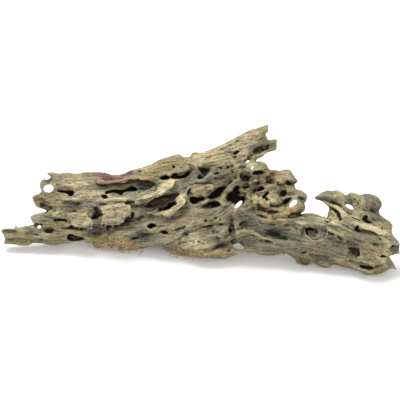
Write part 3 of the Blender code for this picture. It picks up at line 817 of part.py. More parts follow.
    def wear_back(self, seed=21):
        """Hollows, ridges and bores along the grain on the hidden side, placed by a seeded rule."""
        rng = np.random.default_rng(seed)
        for number in range(170):
            start = (rng.uniform(5, 395), rng.uniform(130, 270))
            length, size, lift = rng.uniform(12, 58), rng.uniform(2.0, 6.5), rng.uniform(-0.7, 0.4)
            line = self.follow_grain(start, length)
            swell = np.sin(np.linspace(0.35, math.pi - 0.35, len(line)))
            if min(self.u[self.cell(place)] for place in (line[0], line[2], line[-1])) < 80:
                continue
            if number % 3:
                stroke = [(x, v, lift * size, size * (0.4 + 0.6 * s)) for (x, v), s in zip(line, swell)]
                self.cut(stroke, 1.8, self.hidden)
            else:
                stroke = [(x, v, 0.2 * size, 0.6 * size * s) for (x, v), s in zip(line, swell)]
                self.add(stroke, 2.0, self.hidden)
        for _ in range(40):
            start = (rng.uniform(5, 395), rng.uniform(130, 270))
            radius, depth = rng.uniform(1.6, 3.6), rng.uniform(8, 15)
            if self.u[self.cell(start)] > 90:
                self.bore(start[0], start[1], radius, depth, self.hidden)

    def bore(self, across, down, radius, depth, face):
        """A round hole like those that wood borers leave."""
        hole = [(across - 0.3, down, -depth, radius), (across + 0.3, down, -depth, radius)]
        self.cut(hole, 0.8, face)

    def lay_relief(self, fine):
        """Grooves and layers that follow the grain, over every face near the surface."""
        i, j, k = np.nonzero(np.abs(self.field) < 7)
        along = self.along[i, j].astype(np.float32)
        across = self.across[i, j].astype(np.float32)
        out = (self.d[k] - self.middle[i, j]).astype(np.float32)
        noise = self.noise
        sway = 3.0 * noise(along / 45, across / 16, out / 16 + 5)
        across = across + sway
        weight = np.clip(np.sqrt(np.maximum(self.u[i, j], 0)) / 14, 0.35, 1)
        lively = np.clip(0.75 + 0.9 * noise(self.x[i] / 24, self.v[j] / 20, self.d[k] / 22), 0.25, 1.3)
        relief = 1.3 * noise.ridged(along / 60 + 3, across / 10.5, out / 11)
        relief += 0.9 * noise.ridged(along / 30 + 9, across / 5.4 + 4, out / 6.5)
        layer = (0.55 * across + out + 2.5 * noise(along / 28, across / 12, out / 14 + 20)) / 6.5
        step = layer - np.floor(layer)
        ledge = np.where(step < 0.8, step / 0.8, (1 - step) / 0.2) - 0.5
        relief += 1.7 * ledge * np.clip(0.3 + noise(along / 50 + 7, across / 20, out / 20), 0, 1)
        if fine:
            relief += 0.5 * noise.ridged(along / 20 + 1, across / 2.9, out / 3.6)
        relief *= lively
        relief += 1.0 * noise(self.x[i] / 13, self.v[j] / 11, self.d[k] / 12)
        relief += 0.5 * noise(self.x[i] / 5, self.v[j] / 4.6, self.d[k] / 5)
        rough = np.zeros_like(self.px)
        for eye_x, eye_v, radius, height in ROUGH:
            far = (self.px - eye_x) ** 2 + (self.pv - eye_v) ** 2
            rough = np.maximum(rough, height * np.exp(-far / radius ** 2))
        knobs = noise.ridged(self.x[i] / 6.8, self.v[j] / 5.4, self.d[k] / 6.4)
        knobs = knobs + 0.6 * noise.ridged(self.x[i] / 3.8, self.v[j] / 3.4, self.d[k] / 3.8)
        relief += rough[i, j] * knobs
        self.field[i, j, k] -= (relief * weight - 0.35).astype(self.field.dtype)

    def carve(self, fine=False):
        """The whole log: body, hidden side, hollows, raised parts, sheets, bores and openings."""
        self.body()
        self.along, self.across, self.angle = self.grain()
        self.wear_back()
        self.add_limb(PROP, 7.0)
        for place in DENTS:
            self.dent(*place)
        for _, soft, stroke in HOLLOWS:
            self.cut(stroke, soft, self.seen)
        for _, soft, stroke in RAISED:
            self.add(stroke, soft, self.seen)
        for _, half, soft, rim in SHEETS:
            self.lay_sheet(rim, half, soft, self.seen)
        for _, soft, stroke in SLITS:
            self.cut(stroke, soft, self.seen)
        self.lay_relief(fine)
        for depth, points in PITS.values():
            self.open_pit(depth, points)
        for across, down, radius, depth in BORES:
            self.bore(across, down, radius, depth, self.seen)
        for points in WINDOWS.values():
            self.open_window(points)
        return self.field


def simple_cells():
    """Which of the 256 corner patterns have one inner and one outer group of corners."""
    good = []
    for pattern in range(256):
        whole = True
        for side in (0, 1):
            members = {c for c in range(8) if (pattern >> c & 1) == side}
            if members:
                group = [members.pop()]
                for corner in group:
                    for near in (corner ^ 1, corner ^ 2, corner ^ 4):
                        if near in members:
                            members.remove(near)
                            group.append(near)
                whole = whole and not members
        good.append(whole)
    return np.array(good)


def corner_views(grid):
    """The eight corners of every cell, as views on the grid."""
    parts = []
    for corner in range(8):
        cuts = [slice(1, None) if corner >> axis & 1 else slice(None, -1) for axis in range(3)]
        parts.append(grid[cuts[0], cuts[1], cuts[2]])
    return parts


def make_simple(field):
    """Fills corner patterns that would pinch the surface to one point or edge."""
    good = simple_cells()
    for _ in range(60):
        inside = field < 0
        pattern = sum(view.astype(np.int32) << corner for corner, view in enumerate(corner_views(inside)))
        bad = np.argwhere(~good[pattern])
        if not len(bad):
            break
        for i, j, k in bad:
            cell = field[i:i + 2, j:j + 2, k:k + 2]
            cell[cell >= 0] = -0.05
    return field


def surface_net(field):
    """Closed quads through the zero of the field: one vertex in each cell that the surface crosses."""
    inside = field < 0
    count = sum(view.astype(np.int8) for view in corner_views(inside))
    active = (count > 0) & (count < 8)
    number = np.full(active.shape, -1, np.int64)
    cells = np.argwhere(active)
    number[active] = np.arange(len(cells))
    total = np.zeros((len(cells), 3))
    crossings = np.zeros(len(cells))
    corners = [(c & 1, c >> 1 & 1, c >> 2 & 1) for c in range(8)]
    for axis in range(3):
        for c, corner in enumerate(corners):
            if corner[axis]:
                continue
            end = list(corner)
            end[axis] = 1
            f0 = field[tuple((cells + corner).T)]
            f1 = field[tuple((cells + end).T)]
            hit = (f0 < 0) != (f1 < 0)
            t = np.where(hit, f0 / np.where(hit, f0 - f1, 1), 0)
            place = np.array(corner, float) + t[:, None] * np.eye(3)[axis]
            total += place * hit[:, None]
            crossings += hit
    vertices = cells + total / crossings[:, None]
    faces = []
    for axis in range(3):
        a, b = [n for n in range(3) if n != axis]
        here = [slice(1, -1)] * 3
        here[axis] = slice(None, -1)
        there = list(here)
        there[axis] = slice(1, None)
        f0 = inside[tuple(here)]
        f1 = inside[tuple(there)]
        edges = np.argwhere(f0 != f1)
        offset = np.ones(3, int)
        offset[axis] = 0
        base = edges + offset
        ring = []
        for da, db in ((1, 1), (0, 1), (0, 0), (1, 0)):
            cell = base.copy()
            cell[:, a] -= da
            cell[:, b] -= db
            ring.append(number[tuple(cell.T)])
        quad = np.stack(ring, axis=1)
        outward = f0[tuple(edges.T)]
        if axis == 1:
            outward = ~outward
        quad[~outward] = quad[~outward][:, ::-1]
        faces.append(quad)
    return vertices, np.concatenate(faces)


def largest_body(vertices, faces):
    """Only the largest connected surface: loose crumbs and closed bubbles are left out."""
    label = np.arange(len(vertices))
    while True:
        lowest = label[faces].min(axis=1)
        before = label.copy()
        for column in range(faces.shape[1]):
            np.minimum.at(label, faces[:, column], lowest)
        label = label[label]
        if (label == before).all():
            break
    owner = label[faces[:, 0]]
    names, counts = np.unique(owner, return_counts=True)
    faces = faces[owner == names[counts.argmax()]]
    used = np.unique(faces)
    new = np.zeros(len(vertices), np.int64)
    new[used] = np.arange(len(used))
    return vertices[used], new[faces]


def to_world(wood, vertices):
    """Grid places to metres, with the plane leaning back and the ground at zero."""
    across = wood.x[0] + vertices[:, 0] * wood.step
    down = wood.v[0] + vertices[:, 1] * wood.step
    out = wood.d[0] + vertices[:, 2] * wood.step
    up = GROUND_DOWN - down
    x = across - CENTRE_ACROSS
    y = up * math.sin(LEAN) - out * math.cos(LEAN) - SET_FORWARD
    z = up * math.cos(LEAN) + out * math.sin(LEAN)
    return np.stack([x, y, z], axis=1) / 1000


def make_mesh(name, points, faces):
    mesh = bpy.data.meshes.new(name)
    mesh.from_pydata(points.tolist(), [], faces.tolist())
    mesh.validate()
    mesh.update()
    return mesh


def simplify(mesh, triangles):
    """Collapses edges until about the given number of triangles is left."""
    helper = bpy.data.objects.new("helper", mesh)
    bpy.context.scene.collection.objects.link(helper)
    corners = sum(len(face.vertices) - 2 for face in mesh.polygons)
    modifier = helper.modifiers.new("Decimate", "DECIMATE")
    modifier.ratio = triangles / corners
    modifier.use_collapse_triangulate = True
    graph = bpy.context.evaluated_depsgraph_get()
    smaller = bpy.data.meshes.new_from_object(helper.evaluated_get(graph))
    bpy.data.objects.remove(helper)
    return smaller


def crossed_corners(shape):
    """The corners of all triangles that cross another one without a corner in common."""
    shape.faces.ensure_lookup_table()
    shape.faces.index_update()
    corners = [set(face.verts) for face in shape.faces]
    tree = BVHTree.FromBMesh(shape)
    pairs = [pair for pair in tree.overlap(tree) if not corners[pair[0]] & corners[pair[1]]]
    found = set().union(*(corners[a] for a, _ in pairs))
    return sorted(found, key=lambda vertex: vertex.index)


def simplify_cleanly(mesh):
    """The mesh with about TRIANGLE_BUDGET triangles. Where two cross, their corners are eased
    towards the neighbours until none do."""
    smaller = simplify(mesh, TRIANGLE_BUDGET)
    shape = bmesh.new()
    shape.from_mesh(smaller)
    for _ in range(24):
        corners = crossed_corners(shape)
        if not corners:
            break
        bmesh.ops.smooth_vert(shape, verts=corners, factor=0.5, use_axis_x=True, use_axis_y=True,
                              use_axis_z=True)
    shape.to_mesh(smaller)
    shape.free()
    return smaller


def cut_feet(mesh, height=0.0):
    """Cuts the mesh off flat at the ground, so that it stands on flat feet."""
    shape = bmesh.new()
    shape.from_mesh(mesh)
    everything = shape.verts[:] + shape.edges[:] + shape.faces[:]
    bmesh.ops.bisect_plane(shape, geom=everything, dist=1e-7, plane_co=(0, 0, height),
                           plane_no=(0, 0, -1), clear_outer=True)
    open_edges = [edge for edge in shape.edges if len(edge.link_faces) == 1]
    if open_edges:
        bmesh.ops.triangle_fill(shape, use_beauty=True, edges=open_edges, normal=(0, 0, -1))
    bmesh.ops.recalc_face_normals(shape, faces=shape.faces)
    shape.to_mesh(mesh)
    shape.free()
    return mesh


def wood_material():
    material = bpy.data.materials.new("weathered_wood")
    material.use_nodes = True
    surface = material.node_tree.nodes["Principled BSDF"]
    surface.inputs["Base Color"].default_value = (0.30, 0.23, 0.14, 1)
    surface.inputs["Roughness"].default_value = 0.85
    surface.inputs["Metallic"].default_value = 0.0
    return material


def build():
    for old in list(bpy.data.objects):
        bpy.data.objects.remove(old)
    wood = Wood(GRID_STEP)
    field = make_simple(wood.carve())
    vertices, faces = largest_body(*surface_net(field))
    mesh = make_mesh("honeycomb_wood", to_world(wood, vertices), faces)
    mesh = cut_feet(simplify_cleanly(mesh))
    mesh.name = "honeycomb_wood"
    log = bpy.data.objects.new("honeycomb_wood", mesh)
    bpy.context.scene.collection.objects.link(log)
    mesh.materials.clear()
    mesh.materials.append(wood_material())
    for face in mesh.polygons:
        face.use_smooth = True
    return log


log = build()
print("triangles", sum(len(face.vertices) - 2 for face in log.data.polygons))
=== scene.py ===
# %% [markdown]
# # A weathered, hollow log
#
# The piece is a length of wood that borers, fungus and water have eaten until only the hard
# grain is left: ridges, thin plates, tunnels and a few openings that go right through.
# It is one piece, so one closed skin stands for it here. The frame is loaded first, because
# it fixes where the log lies and how large it may be.

# %% Load the frame
import math
import time

import bpy
import numpy as np
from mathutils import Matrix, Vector


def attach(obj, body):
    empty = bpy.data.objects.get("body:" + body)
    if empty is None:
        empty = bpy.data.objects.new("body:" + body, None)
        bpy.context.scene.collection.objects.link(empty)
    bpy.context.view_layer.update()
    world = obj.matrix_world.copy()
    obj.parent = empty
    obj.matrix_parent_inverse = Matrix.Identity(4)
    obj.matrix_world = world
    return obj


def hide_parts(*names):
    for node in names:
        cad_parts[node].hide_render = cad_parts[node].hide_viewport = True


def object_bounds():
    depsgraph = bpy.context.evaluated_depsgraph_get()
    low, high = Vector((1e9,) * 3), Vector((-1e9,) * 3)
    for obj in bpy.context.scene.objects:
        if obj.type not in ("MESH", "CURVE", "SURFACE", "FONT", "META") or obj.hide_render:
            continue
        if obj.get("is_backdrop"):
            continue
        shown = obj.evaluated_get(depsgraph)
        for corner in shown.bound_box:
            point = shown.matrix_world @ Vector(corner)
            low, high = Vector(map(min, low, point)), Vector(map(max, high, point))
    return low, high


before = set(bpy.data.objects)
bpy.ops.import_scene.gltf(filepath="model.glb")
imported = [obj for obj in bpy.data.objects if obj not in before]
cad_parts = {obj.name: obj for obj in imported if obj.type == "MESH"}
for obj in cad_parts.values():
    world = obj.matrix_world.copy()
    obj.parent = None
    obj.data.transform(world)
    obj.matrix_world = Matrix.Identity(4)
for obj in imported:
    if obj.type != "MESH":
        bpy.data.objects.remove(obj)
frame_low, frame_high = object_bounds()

started = time.time()
print("frame box, mm:", [round(1000 * n) for n in frame_high - frame_low])

# %% [markdown]
# ## The drawing plane
#
# A crooked natural shape is easiest to describe on a drawing that lies along its face. Every
# place below is written in millimetres as (across, down): across from the left tip, down from
# a line above the stub. "Out" is the depth, positive towards the side that is seen. The plane
# leans back as the log does when it rests on its feet.

# %% Driving dimensions
# In mm: where the plane lies in the frame, how far the grid reaches, and how fine it is.
LEAN = math.radians(30.0)
CENTRE_ACROSS = 199.82
GROUND_DOWN = 261.3
SET_FORWARD = 27.64
MARGIN = 7.0
DEPTH_FRONT = 66.0
DEPTH_BACK = -84.0
RIM_RADIUS = 12.0
GRID_STEP = 1.34
FINE_RELIEF = 0.8
MEMBRANE_ROUNDS = 500
STROKE_BORDER, SHEET_BORDER, LIMB_BORDER, PIT_BORDER, OPENING_BORDER = 14.0, 14.0, 30.0, 5.0, 8.0


def to_world(across, down, out):
    """Metres in the frame: height up the leaning plane and depth out of it, turned by LEAN."""
    up = GROUND_DOWN - down
    x = across - CENTRE_ACROSS
    y = up * math.sin(LEAN) - out * math.cos(LEAN) - SET_FORWARD
    z = up * math.cos(LEAN) + out * math.sin(LEAN)
    return np.stack([x, y, z], axis=-1) / 1000


# %% [markdown]
# ## Outline and openings
#
# The rim of the log is drawn first, piece by piece, clockwise from the horn at the upper left.
# Broken wood has no smooth curve to fit, so the points are placed one by one, only as many as
# the splinters and notches need.

# %% The outline
HORN_AND_UPPER_EDGE = [
    (50.5, 176.6), (48.5, 175.6), (46.2, 174.4), (46.2, 173.2), (49, 171.7), (53, 172.5), (57, 174),
    (60, 174.3), (62, 173.2), (66, 172.8), (70, 173.1), (80, 173.2), (90, 172.5), (97, 172.1),
    (104, 172.5), (108, 173.5), (111, 174.8), (120, 174.5), (124, 173.8), (126.5, 172.4), (128.5, 170.9),
    (135, 169.7), (145, 167.3), (152.5, 165.1), (154.8, 163), (160, 160), (168, 157.3), (176, 154.8),
    (179, 153.8), (180.4, 155.6), (182, 157.1), (190.6, 157), (191.2, 154.6), (193.2, 152.6),
    (196, 151.8), (200, 153),
]
STUB = [
    (207, 150.8), (214, 148), (222, 144), (230, 140), (240, 134.5), (250, 129.3), (255, 128.3),
    (262, 126), (267, 124), (269.4, 123.8), (268.6, 126), (268.1, 128), (269.3, 130.2), (268.8, 131.2),
    (266.8, 132.4), (265.9, 134.2), (266.7, 136.2), (268.2, 138.6), (267.8, 139.9), (270.5, 140),
    (273, 139.5), (275, 139.4), (277, 138.8), (277.7, 140.6), (276.4, 143), (277, 145.4), (277.2, 148),
    (276, 149.8), (272, 150.5), (268, 152), (265, 154), (263, 156.5), (259, 157.8), (256.2, 159.6),
    (255.6, 161.2),
]
KNOTS = [
    (258, 161.4), (261, 161.1), (264, 161.7), (265.8, 163), (266.4, 165.5), (267.8, 168), (269.6, 169.8),
    (273, 170.3), (280, 171), (284.5, 170), (287.5, 169.1), (290, 169.2), (291.5, 171.6), (294, 176),
    (296, 179.2), (297.8, 181.5), (296, 182.7), (294.2, 184.3), (294.4, 186.3), (295.5, 188.3),
    (298, 189.5), (301, 190.2), (304, 191.8), (306.4, 194.4), (308.3, 196.4), (307.4, 198), (306.1, 199),
    (306.6, 201.2), (305, 202), (303, 200.8), (302.2, 201.6), (303.6, 203.4), (304.7, 205.6),
    (305, 208.4), (304, 210.4), (301.8, 212), (299.8, 213.4),
]
LOG_TOP = [(303, 214.4), (306, 213.9), (310, 213.2), (314, 213.7), (318, 214.8), (322, 217), (328, 217.8)]
KNUCKLE = [
    (327.4, 215.6), (328, 212.4), (329, 209.6), (328.2, 207), (327, 205), (324.5, 202.8), (321.5, 200.9),
    (318, 200.2), (315.5, 199.6), (313.9, 198.3), (313.7, 197.2), (316, 195.8), (318.5, 194.1),
    (321.5, 192.3), (324.5, 190.9), (327.5, 190.2), (331, 190.8), (333, 191.3), (334.6, 190.2),
    (336.2, 189.4), (338, 189.9), (340.4, 191.6), (342.4, 193.8), (344.4, 195.3), (346, 195.5),
    (348.4, 193.6), (351.5, 192.2), (354, 193.2), (357, 193.8), (359.5, 195), (362.5, 194.4),
    (366.5, 193.6), (370.5, 194.4), (374.5, 195.7), (377.5, 197.3), (379.8, 199.8), (381.2, 203),
    (381, 206), (379.6, 208.8), (377.8, 209.9), (378, 212.2), (379, 214.6),
]
RIGHT_END = [
    (382, 217.2), (386, 219.5), (389.3, 222), (391.4, 225.4), (391.6, 228), (390.2, 230.4),
    (390.2, 232.6), (392, 235.6), (395, 239), (398, 242), (399.2, 244.2), (398.5, 247.6), (398.6, 250.6),
    (400, 253.4), (399.8, 254.2), (395, 254.4), (391, 255.3), (388.2, 256.2), (389.4, 258.4),
    (391.4, 261), (393, 263.6), (394.2, 266.2), (396.4, 268.8), (395.4, 269.6), (392.4, 269),
    (390.4, 267.9),
]
LOG_BOTTOM = [
    (388, 269), (384, 271.3), (380, 273), (375, 274), (371, 274.2), (368, 274.8), (364, 273.9),
    (361, 272.4), (358, 270.7), (354, 269.3), (350, 268.3), (345, 267.4), (341, 266.3), (337, 264.7),
    (334, 264), (331, 265.5), (328, 266.8), (324, 267), (320.5, 266), (317.5, 264.6), (314, 262.9),
    (311, 262.3), (308.5, 263.6), (306, 264.8), (303, 265.2), (300.4, 264.2), (298.4, 262.2),
    (296.5, 259.9), (293, 257.2), (289.5, 254.9), (286.5, 253.3), (281, 253.4), (277, 254.3),
    (274, 255.6), (270, 255.9), (263, 255.1), (258, 254.6), (255.8, 253.2), (250, 252.3), (244, 251.9),
    (239.5, 252.6), (237, 253.8), (235, 255.6),
]
SLAB_BOTTOM = [
    (230, 257), (224, 258.6), (216, 258.6), (206, 258.1), (196, 257.4), (186, 256.1), (178, 254.4),
    (170, 252), (164, 250.6), (158, 248.9), (150, 248), (145, 248.3), (140, 249.2), (134, 250),
    (128, 249.4), (122, 246.8), (115, 246.4), (108, 245.6), (104, 246.6), (100, 247.9), (96, 248.4),
    (93, 247.6), (93.4, 245.2), (90, 243.5), (84, 242.5), (76, 242.3), (68, 243.2), (60, 244),
    (52, 244.9), (47.5, 244.5), (43, 243.2), (37, 242.8), (33, 243),
]
LEFT_TONGUES = [
    (30.6, 244.3), (28, 245.6), (22, 245.8), (14, 245.2), (8, 244.9), (3.4, 244.7), (3.3, 242.4),
    (4.4, 239.8), (4.1, 236.4), (2.2, 233.6), (0.6, 231.6), (0.3, 229.8), (3, 228.4), (6, 228.4),
    (9.4, 227.9), (11.5, 228.7), (14, 228), (14.8, 225.6), (15.8, 224.8), (16.4, 227), (20.5, 226.8),
    (26, 226.2), (30, 225.2), (34.4, 225), (33.4, 223.2), (31.8, 221.8), (30.8, 220.2), (31.3, 219.2),
    (29.7, 218.3), (30.3, 216.9), (32, 215.4), (35, 214.2), (40, 213.2), (44.6, 212), (47.2, 210.4),
    (44.6, 209.6), (41.5, 208.3), (38.6, 207.2), (36, 206.4), (34.6, 204.2), (33, 201.8), (33.5, 200.4),
    (32.2, 199), (32.1, 197.7), (34, 196), (37.4, 194.4), (39.7, 193.5), (39.1, 192.5), (41.2, 191.8),
    (41.3, 190.4), (40.2, 188.4), (39, 186.4), (39.1, 183.6), (39.7, 180.6), (41.2, 178.6), (43.4, 178.3),
    (46, 179), (49, 178.2),
]
OUTLINE = (HORN_AND_UPPER_EDGE + STUB + KNOTS + LOG_TOP + KNUCKLE + RIGHT_END + LOG_BOTTOM
           + SLAB_BOTTOM + LEFT_TONGUES)
print("outline points:", len(OUTLINE))

# %% Openings that go right through
WINDOWS = {
    "ring": [(47.5, 184.4), (44.5, 185.3), (42.5, 187.6), (43, 190.4), (45, 192.2), (49, 192.4),
        (52.1, 191), (53.1, 188.6), (52.4, 185.9), (50.3, 184.5)],
    "tongue gap": [(36, 227.4), (37.6, 225.5), (40.9, 225.3), (41.5, 227.2), (39.4, 228.4),
        (36.5, 228.5)],
    "lower stub gap": [(244.8, 162.9), (247.7, 163.1), (251, 160.2), (248, 159.7)],
    "upper stub gap": [(248.1, 172.2), (250.6, 172.3), (252.5, 169.3), (255, 166), (253.2, 165.2),
        (249.8, 168.4)],
    "crevice": [(233.3, 208), (236, 208.5), (238.6, 207.1), (241.3, 204.1), (244, 200.4), (241.2, 200.4),
        (237.6, 202.8), (234.9, 205.8)],
    "lens": [(232.4, 246.2), (234.3, 244.1), (237.4, 243.1), (239.9, 243.6), (242.6, 245.9),
        (245.8, 248.9), (241.4, 249.6), (237, 249.3), (234.3, 248.1)],
    "finger ring": [(288.5, 207.2), (290.8, 207.3), (294.1, 205.4), (298.2, 203.1), (297.4, 200.8),
        (295.9, 199.7), (293.3, 199.4), (291.1, 201.3), (289.3, 203.9)],
    "knuckle eye": [(344.1, 204.9), (347, 204.1), (350.9, 205.1), (352.9, 206.9), (353.9, 209.4),
        (350.5, 209.2), (347.2, 207.8)],
}
print("openings:", ", ".join(WINDOWS))

# %% [markdown]
# ## Thickness and grain
#
# Two more things are known at every place of the drawing: how thick the log is there, and
# which way its grain runs. Both are given at a few places and lines, and blended in between.

# %% Places of known thickness
# Each is (across, down, depth of the middle, half the thickness).
GIRTH = [
    (8, 237, -16, 7), (28, 236, -17, 9), (50, 235, -18, 13), (75, 238, -19, 17), (46, 176, -26, 5),
    (46, 188, -26, 6), (60, 182, -25, 12), (40, 201, -20, 7), (38, 218, -16, 8), (58, 203, -20, 14),
    (58, 216, -18, 14), (80, 190, -23, 18), (80, 215, -19, 21), (105, 180, -22, 17), (105, 210, -19, 25),
    (100, 238, -19, 20), (140, 178, -21, 17), (140, 208, -18, 26), (135, 238, -16, 23),
    (170, 166, -20, 15), (175, 195, -15, 26), (170, 235, -12, 26), (200, 160, -18, 15),
    (205, 185, -13, 24), (205, 220, -8, 28), (205, 250, 0, 20), (232, 150, -20, 13), (262, 133, -22, 9),
    (268, 146, -20, 7), (232, 178, -12, 19), (230, 215, -5, 24), (240, 246, 0, 17), (260, 170, -8, 14),
    (262, 195, -3, 21), (290, 176, -4, 9), (285, 195, 0, 15), (303, 196, 1, 6), (298, 208, 3, 8),
    (262, 225, 0, 25), (270, 246, 3, 23), (300, 228, 7, 25), (300, 252, 9, 22), (322, 222, 10, 20),
    (330, 245, 14, 27), (340, 258, 16, 24), (368, 264, 24, 21), (365, 240, 20, 26), (388, 250, 25, 20),
    (388, 228, 22, 17), (318, 197, 6, 5), (330, 196, 8, 8), (348, 202, 12, 11), (370, 202, 16, 14),
    (340, 218, 12, 15), (362, 218, 17, 20), (394, 266, 26, 6),
]
print("places of known girth:", len(GIRTH))

# %% Lines of the grain
# The eyes, (across, down, radius), are knots and bores that the grain parts round.
GRAIN_LINES = [
    [(50, 176), (90, 177), (130, 175), (160, 165), (190, 160), (230, 146), (266, 128)],
    [(55, 187), (85, 187), (115, 184), (150, 181), (180, 170), (200, 163), (250, 140)],
    [(55, 198), (100, 199), (140, 198), (170, 184), (195, 172), (235, 160), (262, 148)],
    [(33, 199), (60, 201), (80, 200)],
    [(33, 217), (60, 212), (90, 207), (125, 203)],
    [(40, 223), (66, 221), (95, 216), (125, 212), (150, 210)],
    [(5, 236), (60, 236), (100, 242), (150, 246), (190, 252), (230, 254), (250, 252)],
    [(100, 232), (130, 226), (160, 222), (185, 213), (205, 205), (225, 192), (250, 172)],
    [(140, 240), (165, 236), (190, 226), (215, 214), (232, 205)],
    [(170, 246), (200, 237), (228, 226), (236, 218)],
    [(236, 176), (256, 163)],
    [(246, 206), (275, 199), (304, 194)],
    [(245, 215), (275, 212), (303, 206)],
    [(236, 222), (262, 228), (290, 238), (330, 253), (372, 268)],
    [(255, 245), (285, 249), (320, 262)],
    [(296, 217), (330, 226), (365, 240), (397, 251)],
    [(315, 197), (335, 203), (355, 215), (380, 228), (393, 240)],
    [(338, 194), (362, 203), (378, 212)],
    [(345, 262), (370, 262), (390, 266)],
    [(268, 180), (292, 176)],
]
GRAIN_EYES = [
    (312, 232, 9), (211, 204, 6), (70.5, 194, 3), (104, 197, 3), (150, 226, 4), (164, 232, 3),
    (262, 166, 4), (355, 229, 3), (364, 219, 3), (108, 177, 4), (236, 152, 3), (348, 205, 4),
    (48, 188, 5),
]
print("grain lines:", len(GRAIN_LINES), "and knots:", len(GRAIN_EYES))

# %% [markdown]
# ## What wear has done to the face
#
# The hollows are troughs along a line, the raised lips and knots are rods laid on the face,
# and the flaps are thin sheets that lift off it. Each one is placed where the real log has
# it. Wide hollows come first and sharp slits last, so that a lip can hang over a hollow and
# still be cracked.
#
# A stroke is a name, how softly it blends, in mm, and its points (across, down, out, radius),
# with "out" counted from the bare face.

# %% Soft dents and wide hollows
# A dent is (across, down, length, width, turn in degrees, depth); a negative depth swells.
DENTS = [
    # Upper plank
    (130, 190, 32, 8, -8, 6), (153, 188.5, 6, 3.5, 0, 2.5), (100, 185, 14, 3, -5, 2.5),
    (70, 178, 18, 3, 0, 1.2), (47, 181.5, 5, 3, 0, 2.5), (186, 183, 11, 8, -40, 3),
    (160, 165, 26, 7, -20, -2.5), (86, 194, 12, 5, 0, -1.5),
    # Tongues at the left
    (46, 205, 9, 4, 20, 2.5), (74, 207.5, 18, 5, -4, 3.5), (50, 224, 12, 3, 5, 1.5),
    (48, 231, 9, 3, 0, 2.5), (46, 237, 14, 4, 0, -1.5), (25, 235, 10, 5, 0, 1.2),
    # Middle of the slab
    (96, 214, 6, 6, 60, 5), (95, 232.5, 12, 8, 25, 8), (124, 224.5, 24, 5.5, -14, 6),
    (142, 216, 16, 7, -35, 3.5), (155, 204, 19, 8.5, -14, 8), (131, 204, 8, 4, -10, 3),
    (180, 212, 15, 5, -40, 3), (143, 236, 16, 5, -5, 3), (166, 221, 14, 4, -10, 2),
    (120, 236, 18, 5, -5, -2), (196, 225, 18, 5, -30, -1.5), (218, 245, 8, 4, 0, 2.5),
    # Under the stub
    (203, 174, 6, 8, 30, 3), (216, 196, 12, 6, -30, 5), (230, 181, 12, 4, -50, 2.5),
    (234, 196, 10, 6, -30, 6), (211, 205, 11, 5, 0, 4),
    # Knots
    (246, 184, 12, 6, -40, 7), (262, 187, 10, 4, -10, 5), (284, 194, 6, 5, 0, 4),
    (250, 223, 11, 6, 15, 3.5), (272, 233.5, 13, 5, 8, 4), (235, 240, 9, 5, 20, 4),
    (233.5, 226, 3.6, 11, 8, 4.5),
    # Log and knuckle
    (309, 232, 17, 10, 5, 3), (311, 232, 7, 4, 10, 2), (334, 214, 7, 5, 50, 4), (350, 203, 7, 4, 20, 2.5),
    (353, 252, 6, 6, 0, 3.5), (372, 220, 10, 3, 15, 2.5), (365, 232, 9, 2.5, 10, 2),
    (394, 250, 6, 4, 0, 3), (372, 262, 12, 8, 0, -2.5), (340, 228, 16, 6, 15, -2),
    (282, 246, 22, 6, 5, -1.5),
]
HOLLOWS = [
    # Upper plank
    ("shade under the upper lip", 2.0, [(98, 185, 0, 1.6), (112, 186.4, -2, 3), (127, 184, -3.6, 4),
        (140, 184, -3.4, 4), (150, 185, -2, 3.2), (158, 186, 0, 2)]),
    # Tongues at the left
    ("between the tongues", 2.0, [(45, 211, -4, 2.2), (53, 209.6, -1.5, 1.8), (62, 206.5, 1, 1.4)]),
    ("between tongue and plank", 1.5, [(42, 227.5, -1, 1.4), (52, 228, 0.3, 1.1), (62, 228.5, 0, 1.4),
        (70, 228, -1, 1.8)]),
    ("plank shade, low", 1.5, [(31, 240.5, 0, 1.5), (41, 240, -0.2, 1.4)]),
    # Middle of the slab
    ("behind the big plate", 2.5, [(91, 207, 0, 2.2), (96, 210, -4, 3.6), (98, 216, -6, 4)]),
    ("under the big plate", 2.5, [(101, 221.5, -5, 2.4), (108, 225, -6, 3.6), (118, 225, -7, 4.2),
        (126, 220.6, -7, 4.2), (132, 214, -6, 3.8), (137, 208, -4, 3)]),
    ("big hollow", 3.5, [(143, 206, -3, 3.5), (152, 204.5, -6, 6.5), (161, 202, -8, 7.5),
        (169, 199, -8, 6.5), (176, 195.5, -6, 4.5)]),
    ("grey run beside the slot", 4.0, [(192, 167, 2.5, 3), (190.5, 174, 2, 4), (187, 182, 2, 4)]),
    ("dark run under the stub", 2.0, [(227, 188.5, -6, 3), (221, 192, -9, 4.2), (214, 195, -8, 3.6),
        (207, 197.8, -6, 2.4)]),
    ("crevice at the slab's end", 0.7, [(228.4, 216.2, -1, 0.9), (229.4, 219.4, -4, 1.2),
        (230.8, 223, -6, 1.4), (230.8, 226.4, -7, 1.9), (229.6, 230, -8, 2.5), (226.4, 233.8, -7, 2.2),
        (223, 236.8, -5, 1.5), (220.6, 239, -2.5, 0.9)]),
    ("oval hollow", 1.0, [(203.6, 204.8, -0.6, 2), (208, 204.6, -3, 3.2), (214, 204.6, -4, 3.6),
        (219, 205, -3, 2.4)]),
    ("above the lens", 2.0, [(229, 240.6, 0, 1.8), (234, 242, -4, 3), (239, 243.5, -4, 3)]),
    # Stub
    ("seam between stub and knots", 1.5, [(256.5, 159.6, -4, 1.3), (251, 167.4, -6, 1.6),
        (247, 174.6, -7, 2.2), (242.5, 181, -9, 3), (238.6, 188, -12, 4.4), (233, 195, -13, 5.2),
        (228, 198.4, -10, 3)]),
    # Knots
    ("dent beside the finger ring", 1.5, [(276.5, 205, 0, 1.4), (284, 204, -1, 2), (288, 204.6, -2, 2)]),
]
